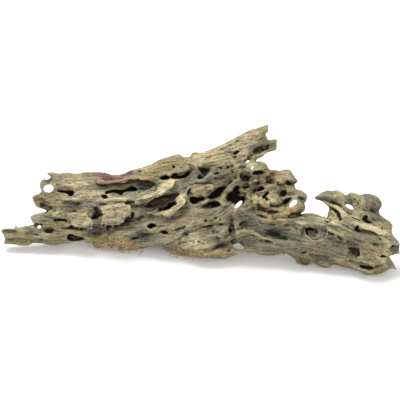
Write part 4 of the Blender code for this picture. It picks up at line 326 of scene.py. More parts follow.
print("dents:", len(DENTS), "wide hollows:", len(HOLLOWS))

# %% Lips, knots and ridges
RAISED = [
    ("lip over the slot, left lobe", 1.2, [(159, 174.2, 0, 2), (165, 172.2, 1, 2.6), (170, 173, 1, 2)]),
    ("lip over the slot, right lobe", 1.2, [(178, 171, 1, 2.4), (182, 171, 1.2, 2.4),
        (186, 169, 0.8, 2)]),
    ("lip over the valley", 1.2, [(98, 181, 0, 1.6), (112, 181.4, 0.8, 2), (123, 180.2, 1.4, 2.2),
        (129, 176.6, 1, 2), (140, 177.2, 0.6, 1.6), (152, 177.6, 0.4, 1.4)]),
    ("ridge under the valley", 0.9, [(98, 200.6, 0, 1.4), (112, 200.2, 0.6, 1.8), (126, 199, 0.8, 1.7),
        (140, 199.6, 1, 1.5)]),
    ("ledge in the valley", 0.9, [(108, 196, -4, 1.4), (116, 196.6, -4, 1.8), (126, 194.6, -4.6, 1.8),
        (140, 192, -3.4, 1.6)]),
    ("knob on the upper edge", 1.8, [(194, 157, -2, 4), (200, 158, -2, 4)]),
    ("rim of the slate recess", 0.9, [(199, 182, 0.4, 1.5), (204.5, 180.8, 1.2, 1.5),
        (209.3, 176, 1.4, 1.5), (214, 170.5, 1.2, 1.4), (219, 166, 0.6, 1.2)]),
    ("lump beside the stub", 1.2, [(220, 172.6, 0, 3.6), (226.6, 171.4, 0.8, 4.6), (226, 175, -0.5, 3)]),
    ("lump plate", 1.2, [(195.5, 190.4, 0, 5), (203, 190.4, 0.8, 5.2), (211, 187.4, 0, 3.6)]),
    ("lip of the lump plate", 0.7, [(191, 194.6, 0, 1.2), (197, 196, 0.6, 1.4), (204, 195.4, 0.4, 1.3),
        (209, 192, 0, 1)]),
    ("crescent lip", 0.7, [(159, 213.4, 0.4, 1.1), (165, 213, 2, 2.1), (172, 210, 3.4, 2.9),
        (177.6, 205.4, 4, 3.4), (181.6, 200, 4, 3.1), (184, 195, 3.2, 2.1), (188, 190.4, 2, 1.1)]),
    ("thin lip", 0.7, [(143.6, 209.6, 0, 0.9), (149, 212.6, 0.2, 1.1), (158, 213.6, 0.2, 1.1)]),
    ("lip of the oval hollow", 0.8, [(202, 203, 0, 0.9), (206, 200.4, 0.4, 1.2), (213, 199.4, 0.7, 1.4),
        (220, 200.6, 0.5, 1.3), (223.4, 204, 0, 0.9)]),
    ("light strip below the stub", 0.7, [(247, 167.6, -1, 1.2), (243, 174, 0, 1.6),
        (236.6, 180.4, 0, 1.9), (230.4, 187, -1, 2), (225.3, 194, -2, 1.9), (222.3, 200, -1, 1.6)]),
    ("pillar at the slab's end", 0.9, [(234.6, 211.6, 0, 1.5), (236.6, 220, 0.5, 2), (236, 229, 0.2, 2),
        (237.4, 236.4, 0, 1.6)]),
    ("foot edge of the slab", 1.5, [(206, 254, 0, 2), (220, 253.6, 0, 2.6), (232, 252.8, 0, 2.4),
        (246, 250.8, -1, 1.2)]),
    ("chips at the slab's end", 0.6, [(219.4, 231.6, 0, 1), (224.4, 231, 1, 1.4),
        (227.4, 230, 0.6, 0.9)]),
    ("lower chip", 0.6, [(218, 236.4, 0, 0.9), (222.6, 236, 1, 1.2)]),
    ("layer above the crack", 0.7, [(212, 222, 0, 1), (220, 222, 0.7, 1.3), (227.4, 222, 0.7, 1)]),
    ("layer below the crack", 0.7, [(211, 227.6, 0, 1), (219, 227.4, 0.7, 1.2), (227.4, 228, 0.5, 1)]),
    ("yellow knob", 0.9, [(257, 165.4, 0, 3.6), (262.4, 166, 0.6, 3.4)]),
    ("hook of the yellow knob", 0.7, [(258, 162.6, 1.6, 1.2), (263, 162.6, 2.2, 1.3), (266, 166, 2, 1.3),
        (263.6, 169, 2.4, 1.2)]),
    ("pale bulb", 0.7, [(236.6, 184.6, -3, 1.6), (241, 183, -1.4, 2.4)]),
    ("crooked branch", 0.7, [(243, 190.4, -4, 1.5), (248.4, 185.6, -1.6, 2), (252.6, 182.2, -0.4, 2),
        (257.6, 180, 0, 1.8)]),
    ("lower branch", 0.7, [(241, 190.6, -4, 1.3), (246.4, 188.8, -2, 1.6), (250, 187.4, -1.4, 1.3)]),
    ("knot lump c", 0.9, [(254, 179.6, 0, 2.4), (260, 177, 0, 2.8), (267, 174.8, 0, 2.6)]),
    ("knot lump d", 0.9, [(249, 195.5, 0, 2.6), (255, 199.6, 0.4, 3.4)]),
    ("dark plate a", 0.7, [(260.6, 182, 0, 2.4), (266.4, 180.8, 0.6, 2.4)]),
    ("dark plate b", 0.7, [(261.6, 189.4, -0.4, 2.4), (268, 187.6, 0.2, 2.6)]),
    ("twisted branch a", 0.7, [(246.4, 204.4, -1, 1.5), (250, 200, 0.6, 1.9), (254, 197.6, 0.8, 1.8),
        (257.4, 193.4, 0, 1.5)]),
    ("twisted branch b", 0.7, [(252.4, 203.8, 0, 1.3), (256.8, 201.4, 0.8, 1.5), (259.8, 197, 0.6, 1.2)]),
    ("twigs in the pit", 0.5, [(279, 190.6, -0.6, 0.9), (284, 189, 0, 1), (287.4, 190.8, 0, 0.8)]),
    ("lobe a", 1.2, [(261, 199.6, 0, 3.8), (266, 204.6, 0.6, 4.2)]),
    ("lobe b", 1.2, [(271.5, 196.5, 0, 3.8), (274.5, 202, 0.2, 3.6)]),
    ("upper finger", 1.2, [(288, 187.5, -1, 2.6), (295, 191.6, 0, 3), (301, 194, 0.4, 3),
        (305, 197, 0, 2.2)]),
    ("orange finger", 0.9, [(266, 209.6, 0, 2), (276, 209.6, 1, 2.6), (286, 210.2, 1.2, 2.8),
        (295, 208.2, 1.2, 3), (301.5, 204.8, 0.4, 2.6)]),
    ("finger below", 0.7, [(256, 211.6, 0, 1.2), (268, 215, 0.8, 1.5), (280, 214.4, 1, 1.4),
        (291, 212.6, 0.6, 1.2)]),
    ("second finger below", 0.7, [(262, 219.6, 0, 1.4), (272, 221, 0.6, 1.8), (284, 221.4, 0.6, 1.8),
        (293, 220, 0.4, 1.4)]),
    ("ridge across the log", 0.7, [(240, 229.5, 0, 1.3), (250, 232, 0.6, 1.7), (260, 236, 0.8, 1.8),
        (269, 239.4, 0, 1.2)]),
    ("light chip in the log", 0.7, [(269, 241.8, 0, 1.1), (275, 242.6, 0.4, 1.4), (279.5, 243, 0, 1)]),
    ("yellow edge of the beak", 0.7, [(322, 201.4, -0.6, 1.1), (330, 205, 0.4, 1.7), (337, 208.6, 0.8, 2),
        (343, 213.4, 0.6, 2.4), (346, 220, 0.2, 2.4), (346.4, 225, 0, 1.8)]),
    ("back of the beak", 0.9, [(318, 196.6, 0, 1.8), (326, 195.2, 0, 2.8), (334, 197, 0, 2.8)]),
    ("grey lobe", 1.5, [(363, 200, 0, 4.4), (370, 202, 0.4, 5.4), (375, 204.6, 0, 4)]),
    ("ridge between the holes", 1.2, [(350, 221, 0.4, 2.4), (360, 225.6, 0.8, 2.4), (374, 229, 0.8, 2.6),
        (386, 234, 0, 2.4)]),
    ("end lobe", 1.8, [(368, 257, 0, 4), (375, 261, 0.2, 4.6), (381, 261, 0, 3.4)]),
    ("chips by the slit", 0.7, [(375, 257.4, 0.8, 0.8), (383.6, 258.4, 0.8, 0.9)]),
    ("belly of the log", 1.8, [(300, 260.6, -2, 3.4), (305, 261.6, -1, 3.4)]),
    ("second belly", 1.8, [(320, 262, -1, 3.4), (327, 263, -1, 3.6)]),
]
print("raised parts:", len(RAISED))

# %% Thin sheets
# A sheet is a name, half its thickness, how softly it blends, and its rim (across, down, out).
SHEETS = [
    ("flap over the big hollow", 1.7, 1.5, [(118, 200.5, -1), (128, 197.4, 0), (138, 195, -1),
        (148, 190.6, -2), (158, 186, -1), (166, 181, 0), (172, 179.6, 1.5), (175.2, 181, 2.6),
        (174, 185, 3.4), (170, 189.6, 4), (164, 193.6, 4), (157, 197, 3.6), (148, 198, 3),
        (143, 199.6, 2.6), (138, 201.6, 2), (128, 201.6, 1)]),
    ("flake", 1.4, 1.2, [(68, 214, 0), (76, 212.4, 0.6), (86, 213.5, 1), (91, 217.5, 1.6), (92.4, 221, 2),
        (93.4, 224.4, 3), (90, 225.6, 3.4), (87, 226.6, 3.6), (82, 227, 3.6), (78, 226.4, 3.6),
        (75, 226.2, 3.2), (71.5, 223.6, 2.4), (68.6, 219, 0.6)]),
    ("big plate", 2.3, 1.8, [(100.5, 208, -0.5), (105, 204.6, -1), (112, 203, -1), (120, 201.6, 0),
        (126, 204, 1), (130.6, 208.4, 2.4), (131, 212.6, 3.4), (127, 216.4, 4), (121, 220, 4.6),
        (114, 222.4, 4.8), (107, 222.4, 4.4), (103, 219.6, 3.6), (102.8, 214, 2)]),
    ("grey plate", 1.9, 1.5, [(275, 173, -0.5), (281, 172, 0), (288.5, 170.6, 0), (292.4, 175.6, 0.6),
        (296, 180.8, 1), (291, 181, 1.6), (286, 179, 1.8), (281, 182, 1.6), (277, 178.4, 0.8)]),
]
print("sheets:", ", ".join(name for name, *_ in SHEETS))

# %% Cracks
SLITS = [
    # Tongues at the left
    ("middle tongue, upper crack", 1.0, [(36, 197.6, 0.4, 1.2), (42, 198, -1.2, 1.6),
        (50, 199.4, -0.6, 1.4)]),
    ("middle tongue, centre crack", 1.0, [(40, 201, 0, 1.3), (48, 201.6, -1.4, 1.5), (56, 203, 0, 1.2)]),
    ("crack in the horn", 0.8, [(56, 185.4, 0.2, 0.9), (66, 185.8, 0, 1)]),
    # Upper plank
    ("scar under the lip", 0.8, [(86, 186.6, 0, 1), (96, 186.4, -0.6, 1.3), (108, 184.2, -0.6, 1.2)]),
    ("notch in the upper ridge", 0.8, [(180.5, 163.8, 1, 1), (185.5, 161.6, 1, 1.4)]),
    ("fold in the upper ridge", 0.8, [(130, 172.6, 0.4, 1), (142, 171.4, 0.2, 1.2), (154, 167, 0.6, 1)]),
    # Middle of the slab
    ("seam of the big plate", 0.9, [(94, 205.8, 0, 1.2), (101, 204.2, -1, 1.3), (109, 204.6, 0, 1)]),
    ("nick by the big plate", 0.8, [(112, 205.6, 1, 1), (115, 204.2, 1.4, 0.9)]),
    ("crack in the low slab", 0.9, [(187, 233, 0, 1), (177, 239, -0.4, 1.2), (168, 243, 0, 1)]),
    ("second crack in the low slab", 0.9, [(196, 220, 0, 1), (188, 226, -0.6, 1.3), (176, 231, 0, 1)]),
    ("third crack in the low slab", 0.9, [(190, 245.8, 0.4, 0.9), (176, 244.6, 0, 1),
        (166, 243, 0, 0.9)]),
    ("small dark chip", 0.8, [(195, 242.2, 0, 0.9), (198.6, 241.2, -1.6, 1.3), (202, 242.6, 0, 0.8)]),
    ("crack by the lump", 0.8, [(211, 170.5, 0, 1), (214.8, 173.6, -3, 1.5), (216, 178.6, -3, 1.5)]),
    ("branch of the crack", 0.8, [(213.5, 173, -1, 1), (218.6, 173.2, -2, 1.4), (222, 169, -1, 1)]),
    ("line under the lump", 0.8, [(220.5, 179, -1, 1.1), (230, 177.6, -1.5, 1.2)]),
    ("crack across the slab", 0.7, [(201, 226.6, 0, 0.9), (208, 225, -2, 1.1), (218, 224.6, -2.4, 1.2),
        (229, 223.6, -3, 1.3)]),
    ("short crack above", 0.7, [(214.5, 218, 0, 1), (219, 220, -1.6, 1), (226, 221, 0, 0.8)]),
    ("third crack above", 0.7, [(203, 223.4, 0.3, 0.8), (206, 219.6, 0, 0.9)]),
    # Stub
    ("crack below the red bore", 0.7, [(233.4, 155, 0, 1), (229, 158.8, 0, 0.9)]),
    ("long crack in the stub", 0.8, [(262, 134, 0.4, 0.9), (246, 143, 0, 1), (226, 152, 0.3, 0.9)]),
    # Knots
    ("slit in the finger", 0.7, [(299, 197.4, 0, 1), (303.5, 198.6, -0.4, 1.1)]),
    ("layers of the orange finger, a", 0.8, [(250, 208, 0, 1), (262, 210, -1, 1.2),
        (268, 212.4, -1.4, 1.3), (278, 212, 0, 1)]),
    ("layers of the orange finger, b", 0.8, [(256, 214, 0, 0.9), (266, 217.6, -1, 1.3),
        (274, 218.4, -1, 1.2), (282, 216, -0.6, 1), (292, 214.6, -1, 1.3), (301, 212.4, -1, 1.2)]),
    ("layers of the orange finger, c", 0.8, [(284, 219.4, -0.4, 1), (294, 218, -1, 1.2),
        (300, 215.4, -1, 1.3)]),
    ("dark line in the log", 0.9, [(255, 239.4, 0.5, 0.9), (266, 241, -0.8, 1.3),
        (277, 244.4, -0.6, 1.3)]),
    ("upper line in the log", 0.9, [(262, 230.4, 0.4, 0.9), (272, 230, -0.6, 1.4), (286, 231, 0.2, 1)]),
    # Log
    ("groove along the beak", 1.0, [(320, 199.4, 0.4, 1), (329, 201.6, -0.8, 1.4), (338, 205.6, -1, 1.5),
        (346, 210, 0.2, 1.2)]),
    ("second groove of the beak", 1.0, [(336, 201, 0.6, 0.9), (343, 205.4, 0, 1.1),
        (350, 210.6, 0.4, 1)]),
    ("foot of the triangle recess", 0.8, [(330, 218, -4, 1.1), (338.6, 220.6, -5, 1.2)]),
    ("crease of the grey lobe", 0.9, [(356.6, 197.6, 0.6, 1), (361, 201.6, 0, 1.3), (367, 207.4, 0, 1.4),
        (376, 212.6, 0.4, 1.2)]),
    ("groove under the eye", 1.2, [(326, 233, 1, 1.2), (336, 236, 0, 1.8), (346, 241, 0, 2),
        (352, 245, 0, 1.6)]),
    ("groove from the upper hole", 1.2, [(367, 221.4, -0.6, 1.5), (374, 223.6, 0.2, 1.3),
        (384, 227, 0.6, 1)]),
    ("groove from the lower hole", 1.2, [(356.6, 230.4, -0.6, 1.5), (362, 231.8, 0.3, 1.2),
        (369, 232.6, 0.7, 1)]),
    ("arc round the end lobe", 0.7, [(363.6, 246, 0.4, 0.9), (362.6, 253, 0.2, 1), (363.6, 260, 0, 1.1),
        (368, 265.4, 0, 1.1)]),
    ("chips near the end", 0.7, [(374, 258.4, 0.6, 0.7), (384, 259.8, 0.2, 0.9)]),
    ("arc of the end lobe", 0.9, [(359, 262, 0.6, 0.9), (364, 266.2, 0, 1.2), (373, 268, 0, 1.2),
        (380, 265, 0.4, 1)]),
    ("low lines of the log", 0.9, [(300, 251, 0.4, 1), (310, 254, 0, 1.3), (322, 256, 0.2, 1)]),
]
print("cracks:", len(SLITS))

# %% Pits, tunnels and bores
# A pit is its depth and its mouth (across, down); a bore is (across, down, radius, depth).
PITS = {
    "bore with its slit": (14, [(57, 190.2), (64, 190.6), (72.5, 190.8), (73.9, 193), (73, 195.6),
        (70, 196.9), (68.2, 196), (67.5, 194), (62, 192.4), (57.5, 191.7)]),
    "end of the valley": (14, [(100.8, 197), (102.5, 195), (105, 194.6), (107.6, 196), (108.2, 197.6),
        (105.5, 199), (102.5, 198.8)]),
    "valley tunnel": (18, [(104, 193), (107, 190.9), (112, 189.7), (116, 189), (120, 189.6),
        (124.5, 189.2), (128, 186.9), (131, 185.9), (134.8, 186.4), (137.6, 189), (136.2, 191.3),
        (131, 192), (127, 191.6), (124.8, 192.6), (122.6, 193.4), (122.8, 196), (118.2, 194.4),
        (115.6, 193.4), (113.4, 192.6), (110, 192.9), (106.2, 194.4)]),
    "slot under the upper ridge": (15, [(160.3, 177.3), (162.5, 176.2), (165, 175.2), (167.5, 175.8),
        (170, 176.8), (172, 175.4), (174.4, 172.8), (176.3, 172.2), (177.2, 174.8), (178.7, 175.8),
        (182, 175.2), (185, 173), (187.5, 172), (189.8, 173), (189, 175.2), (185, 177.8), (180, 179),
        (176, 179), (172, 177.8), (168, 179.2), (164, 180.2), (160.8, 180.9)]),
    "throat of the big hollow": (24, [(155.3, 211.8), (157, 209.6), (162, 208.2), (166, 206.4),
        (169, 203.8), (172, 201.8), (175.7, 201.3), (176.6, 203), (174, 206.2), (170, 208.9),
        (166, 210.4), (161, 211.6)]),
    "left pit of the hollow": (2.5, [(125.2, 202.6), (127, 200.9), (131, 200.5), (135, 201.9),
        (133, 203.8), (129, 204.6), (126.3, 204.3)]),
    "hole in the low slab": (14, [(145, 226.4), (147.4, 225.4), (150, 223.8), (153, 223.6),
        (155.7, 225.4), (155, 226.9), (151.6, 227.8), (150.4, 229), (147.4, 227.2)]),
    "second hole in the low slab": (11, [(159.8, 233.1), (161.8, 230.6), (165, 229.7), (168.4, 231.9),
        (167.6, 233.3), (163, 233.8)]),
    "tunnel under the lump plate": (15, [(190.3, 196.9), (193, 196.6), (197, 197.8), (201, 197.2),
        (204.2, 197.3), (205.8, 198.7), (203, 200.5), (199.5, 200.9), (196.5, 203.3), (193.4, 204.3),
        (191, 202.8), (189.7, 200)]),
    "dark end of the oval hollow": (13, [(207, 203.6), (209.4, 202), (214, 201.5), (218.6, 202.4),
        (220.8, 204.4), (217, 205.6), (211, 205.2)]),
    "cave under the stub": (13, [(207, 197), (212, 194), (216, 190), (219.6, 186.6), (223, 187.4),
        (222.4, 191.6), (219.4, 197), (213, 199.2), (208, 199)]),
    "cave below the strip": (19, [(226.6, 199), (229, 194.6), (232.6, 190.4), (235.4, 192.6), (239, 196),
        (243.6, 195.6), (245.6, 198.6), (243.6, 203), (238, 205.6), (232.4, 203), (228.4, 200.8)]),
    "knot cave a": (8, [(235.4, 186.6), (241, 184.4), (246, 183.6), (250.4, 186), (249, 188.7),
        (243, 188.2), (238, 190.2), (234, 189.4)]),
    "knot cave b": (4.5, [(240, 175), (245, 175.4), (250, 177.6), (248.4, 181), (243, 182.8),
        (240, 180.4)]),
    "knot cave c": (5.5, [(252.6, 189.8), (258, 186.8), (262, 186.2), (264.4, 189), (259, 191.4),
        (254, 191.8)]),
    "dark line under the yellow knob": (3, [(250.6, 171.9), (257, 171.4), (263, 172.8), (259, 174.8),
        (252, 174.2)]),
    "knot pit d": (5, [(261.6, 196.4), (265.4, 192.8), (269.4, 191.4), (266.6, 195), (263, 198)]),
    "knot pit e": (3.5, [(266, 180), (269, 178.6), (272.6, 181), (270.4, 183.6), (266.6, 183)]),
    "notch under the grey plate": (6, [(285.6, 181.6), (288, 180.2), (290, 182.4), (293.8, 182.6),
        (291, 184.8), (287, 185)]),
    "pit above the finger": (7.5, [(278.3, 194), (281.6, 190.8), (286, 190.4), (286.7, 193), (284, 196.8),
        (279.3, 196.4)]),
    "pit beside the finger ring": (8, [(283.2, 201), (286, 198.6), (290, 197.2), (293.4, 197.6),
        (291, 199.8), (288.8, 203), (286, 204.2), (283.8, 203.5)]),
    "pit of the eye": (6, [(303.4, 228.6), (307, 227.5), (311.5, 227.5), (315.6, 229), (317.8, 231.8),
        (317.2, 234.8), (313.6, 236.8), (309, 236.6), (305.8, 234.8), (304.8, 231.6)]),
    "dark side of the eye": (11, [(303.8, 228.4), (307, 227.5), (311.5, 227.7), (315.4, 229.4),
        (311.6, 230.4), (308, 230.8), (307.2, 234.6), (305.2, 233.6), (304.6, 231)]),
    "arc of the triangle recess": (5.5, [(328.7, 206), (332.5, 208), (337, 210.4), (340.2, 214.6),
        (341.1, 219.7), (339.5, 221.2), (337.8, 216.8), (334.8, 212.8), (331.2, 210.8), (328.6, 210.4)]),
    "upper hole of the knuckle": (6.5, [(361.3, 219.4), (362, 217), (364.6, 215.1), (368.4, 215.4),
        (366.8, 217.2), (365.4, 218.7), (365.8, 220.2), (368, 221.4), (371.4, 222.2), (367, 223.1),
        (363.2, 222.3)]),
    "lower hole of the knuckle": (5.5, [(353.5, 230.1), (354, 227.5), (356.3, 225.7), (358.2, 226.2),
        (356.9, 228.3), (357.6, 230), (360.4, 231.5), (357, 232)]),
    "recess above the knuckle eye": (4, [(343.6, 203.4), (345.4, 201.6), (348.6, 201.4), (352, 204),
        (350, 205.4), (346.6, 204.4)]),
    "square hollow": (4, [(348, 248.4), (350.4, 246.8), (353, 247.3), (357, 248.1), (359, 252),
        (358.6, 256.2), (354, 256.8), (350, 255)]),
    "slit near the end": (6, [(376.8, 255.4), (381, 254.9), (386, 256.5), (381, 257.1)]),
    "lens under the log": (6, [(355.6, 264.4), (360, 265.2), (365, 265.4), (370, 265.9), (372.4, 267.5),
        (368, 268.7), (362, 267.9), (357.4, 266.6)]),
    "tube of the lower prong": (3.2, [(254, 150.8), (257, 147.8), (262, 146.4), (268, 145),
        (272.8, 145.3), (270, 147.8), (266, 149.8), (262, 151.9), (257, 153.9), (251, 157.2),
        (247.4, 159.7), (248.8, 156.6), (252, 153.8)]),
    "red bore in the stub": (5, [(232.2, 153.6), (235.6, 151.4), (239.7, 150.1), (240, 152.3),
        (236.4, 154.4), (233.4, 155)]),
    "oval on the lump": (4, [(224.6, 168.6), (226.4, 166.8), (229.4, 167.2), (227.6, 169.6), (225, 170)]),
    "slate recess": (5, [(196.6, 179.4), (198.2, 176), (200, 172.2), (200.6, 168.8), (203.6, 168.4),
        (206, 168.6), (209.6, 167.8), (209.2, 171.6), (206.8, 175.2), (203.6, 178.2), (200, 179.8)]),
    "crease left of the lump": (5, [(186.4, 192.8), (188.4, 189.4), (190.1, 187.2), (190.8, 190),
        (189.7, 193.6), (187.8, 194.8)]),
    "slot behind the big plate": (13, [(90.8, 217.6), (94, 216.8), (98, 217), (96.8, 218.9),
        (92, 219.1)]),
    "pit behind the big plate": (11, [(98.6, 214.6), (101, 213.2), (103.4, 214.4), (101.6, 216.4)]),
    "shade under the flake": (6, [(68.2, 228), (71, 225.4), (74, 226), (78, 227.4), (84, 227.2),
        (90, 226.2), (93.4, 227.4), (92, 230), (86, 230), (78, 229.6), (72, 229)]),
    "slot in the second tongue": (5, [(52, 219.5), (58, 219.1), (62, 218.7), (65.8, 219.2), (67.1, 221.4),
        (64.6, 221.8), (61, 220.7), (55, 220.8)]),
    "nook above the tongue gap": (4, [(33.4, 224.6), (37, 223.2), (42, 223.9), (45, 226.6), (41.6, 226),
        (37.4, 225.8), (35.2, 227.2)]),
    "block under the middle tongue": (5, [(38.8, 203.4), (41.6, 203), (48, 206), (52.9, 207.6),
        (50, 209.8), (45, 209), (39.8, 206.8)]),
    "plank shade, centre": (3, [(42.8, 230.6), (47, 229), (55.4, 228.3), (53, 231), (51, 233.2),
        (46, 233)]),
    "black opening in the plank": (11, [(66.3, 239.8), (66.6, 235.8), (68, 234), (71, 233.8), (74, 234.9),
        (78, 236.1), (82, 237.3), (85.4, 239.4), (80, 240.7), (74, 240.9), (69, 240.5)]),
    "streak in the slab": (6, [(130.3, 239.4), (134, 237.4), (139, 236.1), (143.6, 236.5), (139, 238.2),
        (134.6, 239.5), (131.4, 240.5)]),
    "plank end": (2, [(1.5, 230), (5, 229.4), (11, 229.6), (15.6, 229.2), (14.4, 232.6), (8, 233.4),
        (3, 233)]),
    "recess at the end": (4, [(389, 251.6), (390, 246.6), (392.4, 243.8), (394.6, 245.6), (398.2, 245),
        (398.6, 250), (396, 252.6), (391, 253)]),
}
BORES = [(173.2, 166.5, 1.2, 7), (36.8, 235.4, 1.1, 3), (378.4, 238.2, 1.0, 3), (226.6, 205.8, 1.1, 4)]
print("pits:", len(PITS), "bores:", len(BORES))

# %% Knobbly places and the hidden limb
# A knobbly place is (across, down, radius, height); the limb's points are (across, down, out, radius).
ROUGH = [
    (254, 184, 22, 3.2), (268, 178, 14, 2.8), (42, 202, 9, 1.2), (222, 170, 12, 1.2), (284, 196, 12, 1.3),
    (100, 242, 14, 1.0), (214, 232, 12, 0.9), (335, 215, 8, 0.8),
]
PROP = [(172, 214, -30, 14), (166, 226, -48, 10), (161, 231, -62, 7.5)]

# %% [markdown]
# ## A field instead of a surface
#
# Tunnels, overhangs and see-through openings are hard to keep closed when a mesh is pushed
# about by hand. Here the wood is a number on a grid instead: negative inside, positive
# outside, about the distance to the surface in between. Cutting and joining are then a
# maximum and a minimum, with a blend that rounds the meeting line.

# %% The grid
first, last = np.min(OUTLINE, axis=0) - MARGIN, np.max(OUTLINE, axis=0) + MARGIN
across_line = np.arange(first[0], last[0], GRID_STEP)
down_line = np.arange(first[1], last[1], GRID_STEP)
out_line = np.arange(DEPTH_BACK, DEPTH_FRONT, GRID_STEP)
ACROSS, DOWN = np.meshgrid(across_line, down_line, indexing="ij")
print("grid:", len(across_line), "x", len(down_line), "x", len(out_line))


# %% Distances on the plane
def segment_distance(px, py, ax, ay, bx, by):
    """Distance to a segment: to the nearest of its points, found by projecting and clamping."""
    dx, dy = bx - ax, by - ay
    t = np.clip(((px - ax) * dx + (py - ay) * dy) / (dx * dx + dy * dy + 1e-9), 0, 1)
    return np.hypot(px - ax - t * dx, py - ay - t * dy)


def polygon_distance(points, px, py):
    """Signed distance to an outline: the nearest side's distance, positive where a ray crosses
    the outline an odd number of times."""
    nearest = np.full(px.shape, 1e9)
    inside = np.zeros(px.shape, bool)
    for (ax, ay), (bx, by) in zip(points, points[1:] + points[:1]):
        nearest = np.minimum(nearest, segment_distance(px, py, ax, ay, bx, by))
        if ay != by:
            crosses = (ay > py) != (by > py)
            inside ^= crosses & (px < (bx - ax) * (py - ay) / (by - ay) + ax)
    return np.where(inside, nearest, -nearest)


edge = polygon_distance(OUTLINE, ACROSS, DOWN)
print("face area, cm2:", round(float((edge > 0).sum()) * GRID_STEP ** 2 / 100))


# %% Blends
def blend_min(a, b, soft):
    """Joins two fields: the smaller of both, less soft * h * (1 - h) where they are close."""
    h = np.clip(0.5 + 0.5 * (b - a) / soft, 0, 1)
    return b + (a - b) * h - soft * h * (1 - h)


def blend_max(a, b, soft):
    """Keeps what both fields hold: the join of their opposites, turned round."""
    return -blend_min(-a, -b, soft)


# %% [markdown]
# ## The bare body
#
# The outline is filled like a balloon between two plates: a membrane held down at its rim
# gives a round edge everywhere and the known thickness in the middle. The square of the
# thickness obeys a simple equation, which a few hundred rounds of averaging solve.

# %% Thickness
def blend_places(places, value):
    """Value at every place of the plane: the mean of the given ones, each weighed by
    1 / (distance squared + 40) squared."""
    total = np.zeros_like(ACROSS)
    weight = np.zeros_like(ACROSS)
    for place in places:
        far = (ACROSS - place[0]) ** 2 + (DOWN - place[1]) ** 2
        near = 1 / (far + 40) ** 2
        total += near * place[value]
        weight += near
    return total / weight


def membrane(edge, half):
    """Square of the half thickness: lap(u) = k^2 (u - half^2) with u = 0 at the rim, and k such
    that the rim has about the radius RIM_RADIUS. Outside it falls on with the same slope."""
    inside = edge > 0
    target = half ** 2
    k2 = np.clip(2 * RIM_RADIUS / np.maximum(target, 9), 0, 0.35) ** 2 * GRID_STEP ** 2
    u = np.where(inside, target * np.clip(edge / half, 0, 1), 0)
    for _ in range(MEMBRANE_ROUNDS):
        around = np.roll(u, 1, 0) + np.roll(u, -1, 0) + np.roll(u, 1, 1) + np.roll(u, -1, 1)
        u = np.where(inside, (around + k2 * target) / (4 + k2), 0)
    return np.where(inside, u, -2 * RIM_RADIUS * np.maximum(-edge, 0) * 0.8)


middle = blend_places(GIRTH, 2)
half_squared = membrane(edge, blend_places(GIRTH, 3))
thick = np.sqrt(np.maximum(half_squared, 0))
seen_face = (middle + thick, 1)
hidden_face = (middle - thick, -1)
print("thickest place, mm:", round(float(2 * thick.max())))


# %% The body as a field
def bare_body():
    """(out - middle)^2 - u, divided by its own slope so that it reads as a distance in mm."""
    slope_x, slope_v = np.gradient(half_squared, GRID_STEP)
    lean_x, lean_v = np.gradient(middle, GRID_STEP)
    out = out_line[None, None, :] - middle[:, :, None]
    rise = 2 * np.sqrt(out ** 2 * (1 + (lean_x ** 2 + lean_v ** 2)[:, :, None])
                       + 0.25 * (slope_x ** 2 + slope_v ** 2)[:, :, None])
    return (out ** 2 - half_squared[:, :, None]) / np.maximum(rise, 5.0)


field = bare_body()
print("bare body, cm3:", round(float((field < 0).sum()) * GRID_STEP ** 3 / 1000))

# %% [markdown]
# ## Grain coordinates
#
# Worn wood shows its grain as ridges, so the relief and the colours must run along it, bend
# with it and part round the knots. Two maps are needed: how far along the grain a place is,
# and how far across. Their slopes are known, since they are the grain's direction and its
# normal, and a Fourier transform finds the two maps that fit those slopes best.

# %% Direction and coordinates of the grain
def grain_angle():
    """Mean direction of the lines near a place. Angles are doubled before they are averaged,
    so that a line counts the same from both ends."""
    cos2 = np.zeros_like(ACROSS)
    sin2 = np.zeros_like(ACROSS)
    for line in GRAIN_LINES:
        for (ax, ay), (bx, by) in zip(line, line[1:]):
            double = 2 * math.atan2(by - ay, bx - ax)
            near = segment_distance(ACROSS, DOWN, ax, ay, bx, by)
            weight = math.hypot(bx - ax, by - ay) / (near ** 2 + 12) ** 2
            cos2 += weight * math.cos(double)
            sin2 += weight * math.sin(double)
    return 0.5 * np.arctan2(sin2, cos2)


def fit_slopes(slope_x, slope_v):
    """The map m whose slopes are nearest to the given ones: -i (kx gx + kv gv) / k^2 in Fourier
    space, with the plane mirrored at its border so that nothing wraps round."""
    gx = np.block([[slope_x, slope_x[:, ::-1]], [-slope_x[::-1], -slope_x[::-1, ::-1]]])
    gv = np.block([[slope_v, -slope_v[:, ::-1]], [slope_v[::-1], -slope_v[::-1, ::-1]]])
    kx = 2 * np.pi * np.fft.fftfreq(gx.shape[0], GRID_STEP)[:, None]
    kv = 2 * np.pi * np.fft.fftfreq(gx.shape[1], GRID_STEP)[None, :]
    k2 = kx ** 2 + kv ** 2
    k2[0, 0] = 1
    fitted = -1j * (kx * np.fft.fft2(gx) + kv * np.fft.fft2(gv)) / k2
    fitted[0, 0] = 0
    return np.fft.ifft2(fitted).real[:slope_x.shape[0], :slope_x.shape[1]]


def part_round_knots(lines):
    """Like water round a post: the distance from a knot's own grain line is scaled by
    r^2 / (r^2 + radius^2), so that the lines crowd past it."""
    for knot_x, knot_v, radius in GRAIN_EYES:
        i = int(round((knot_x - across_line[0]) / GRID_STEP))
        j = int(round((knot_v - down_line[0]) / GRID_STEP))
        far = (ACROSS - knot_x) ** 2 + (DOWN - knot_v) ** 2
        lines = lines - (lines - lines[i, j]) * radius ** 2 / (far + radius ** 2)
    return lines


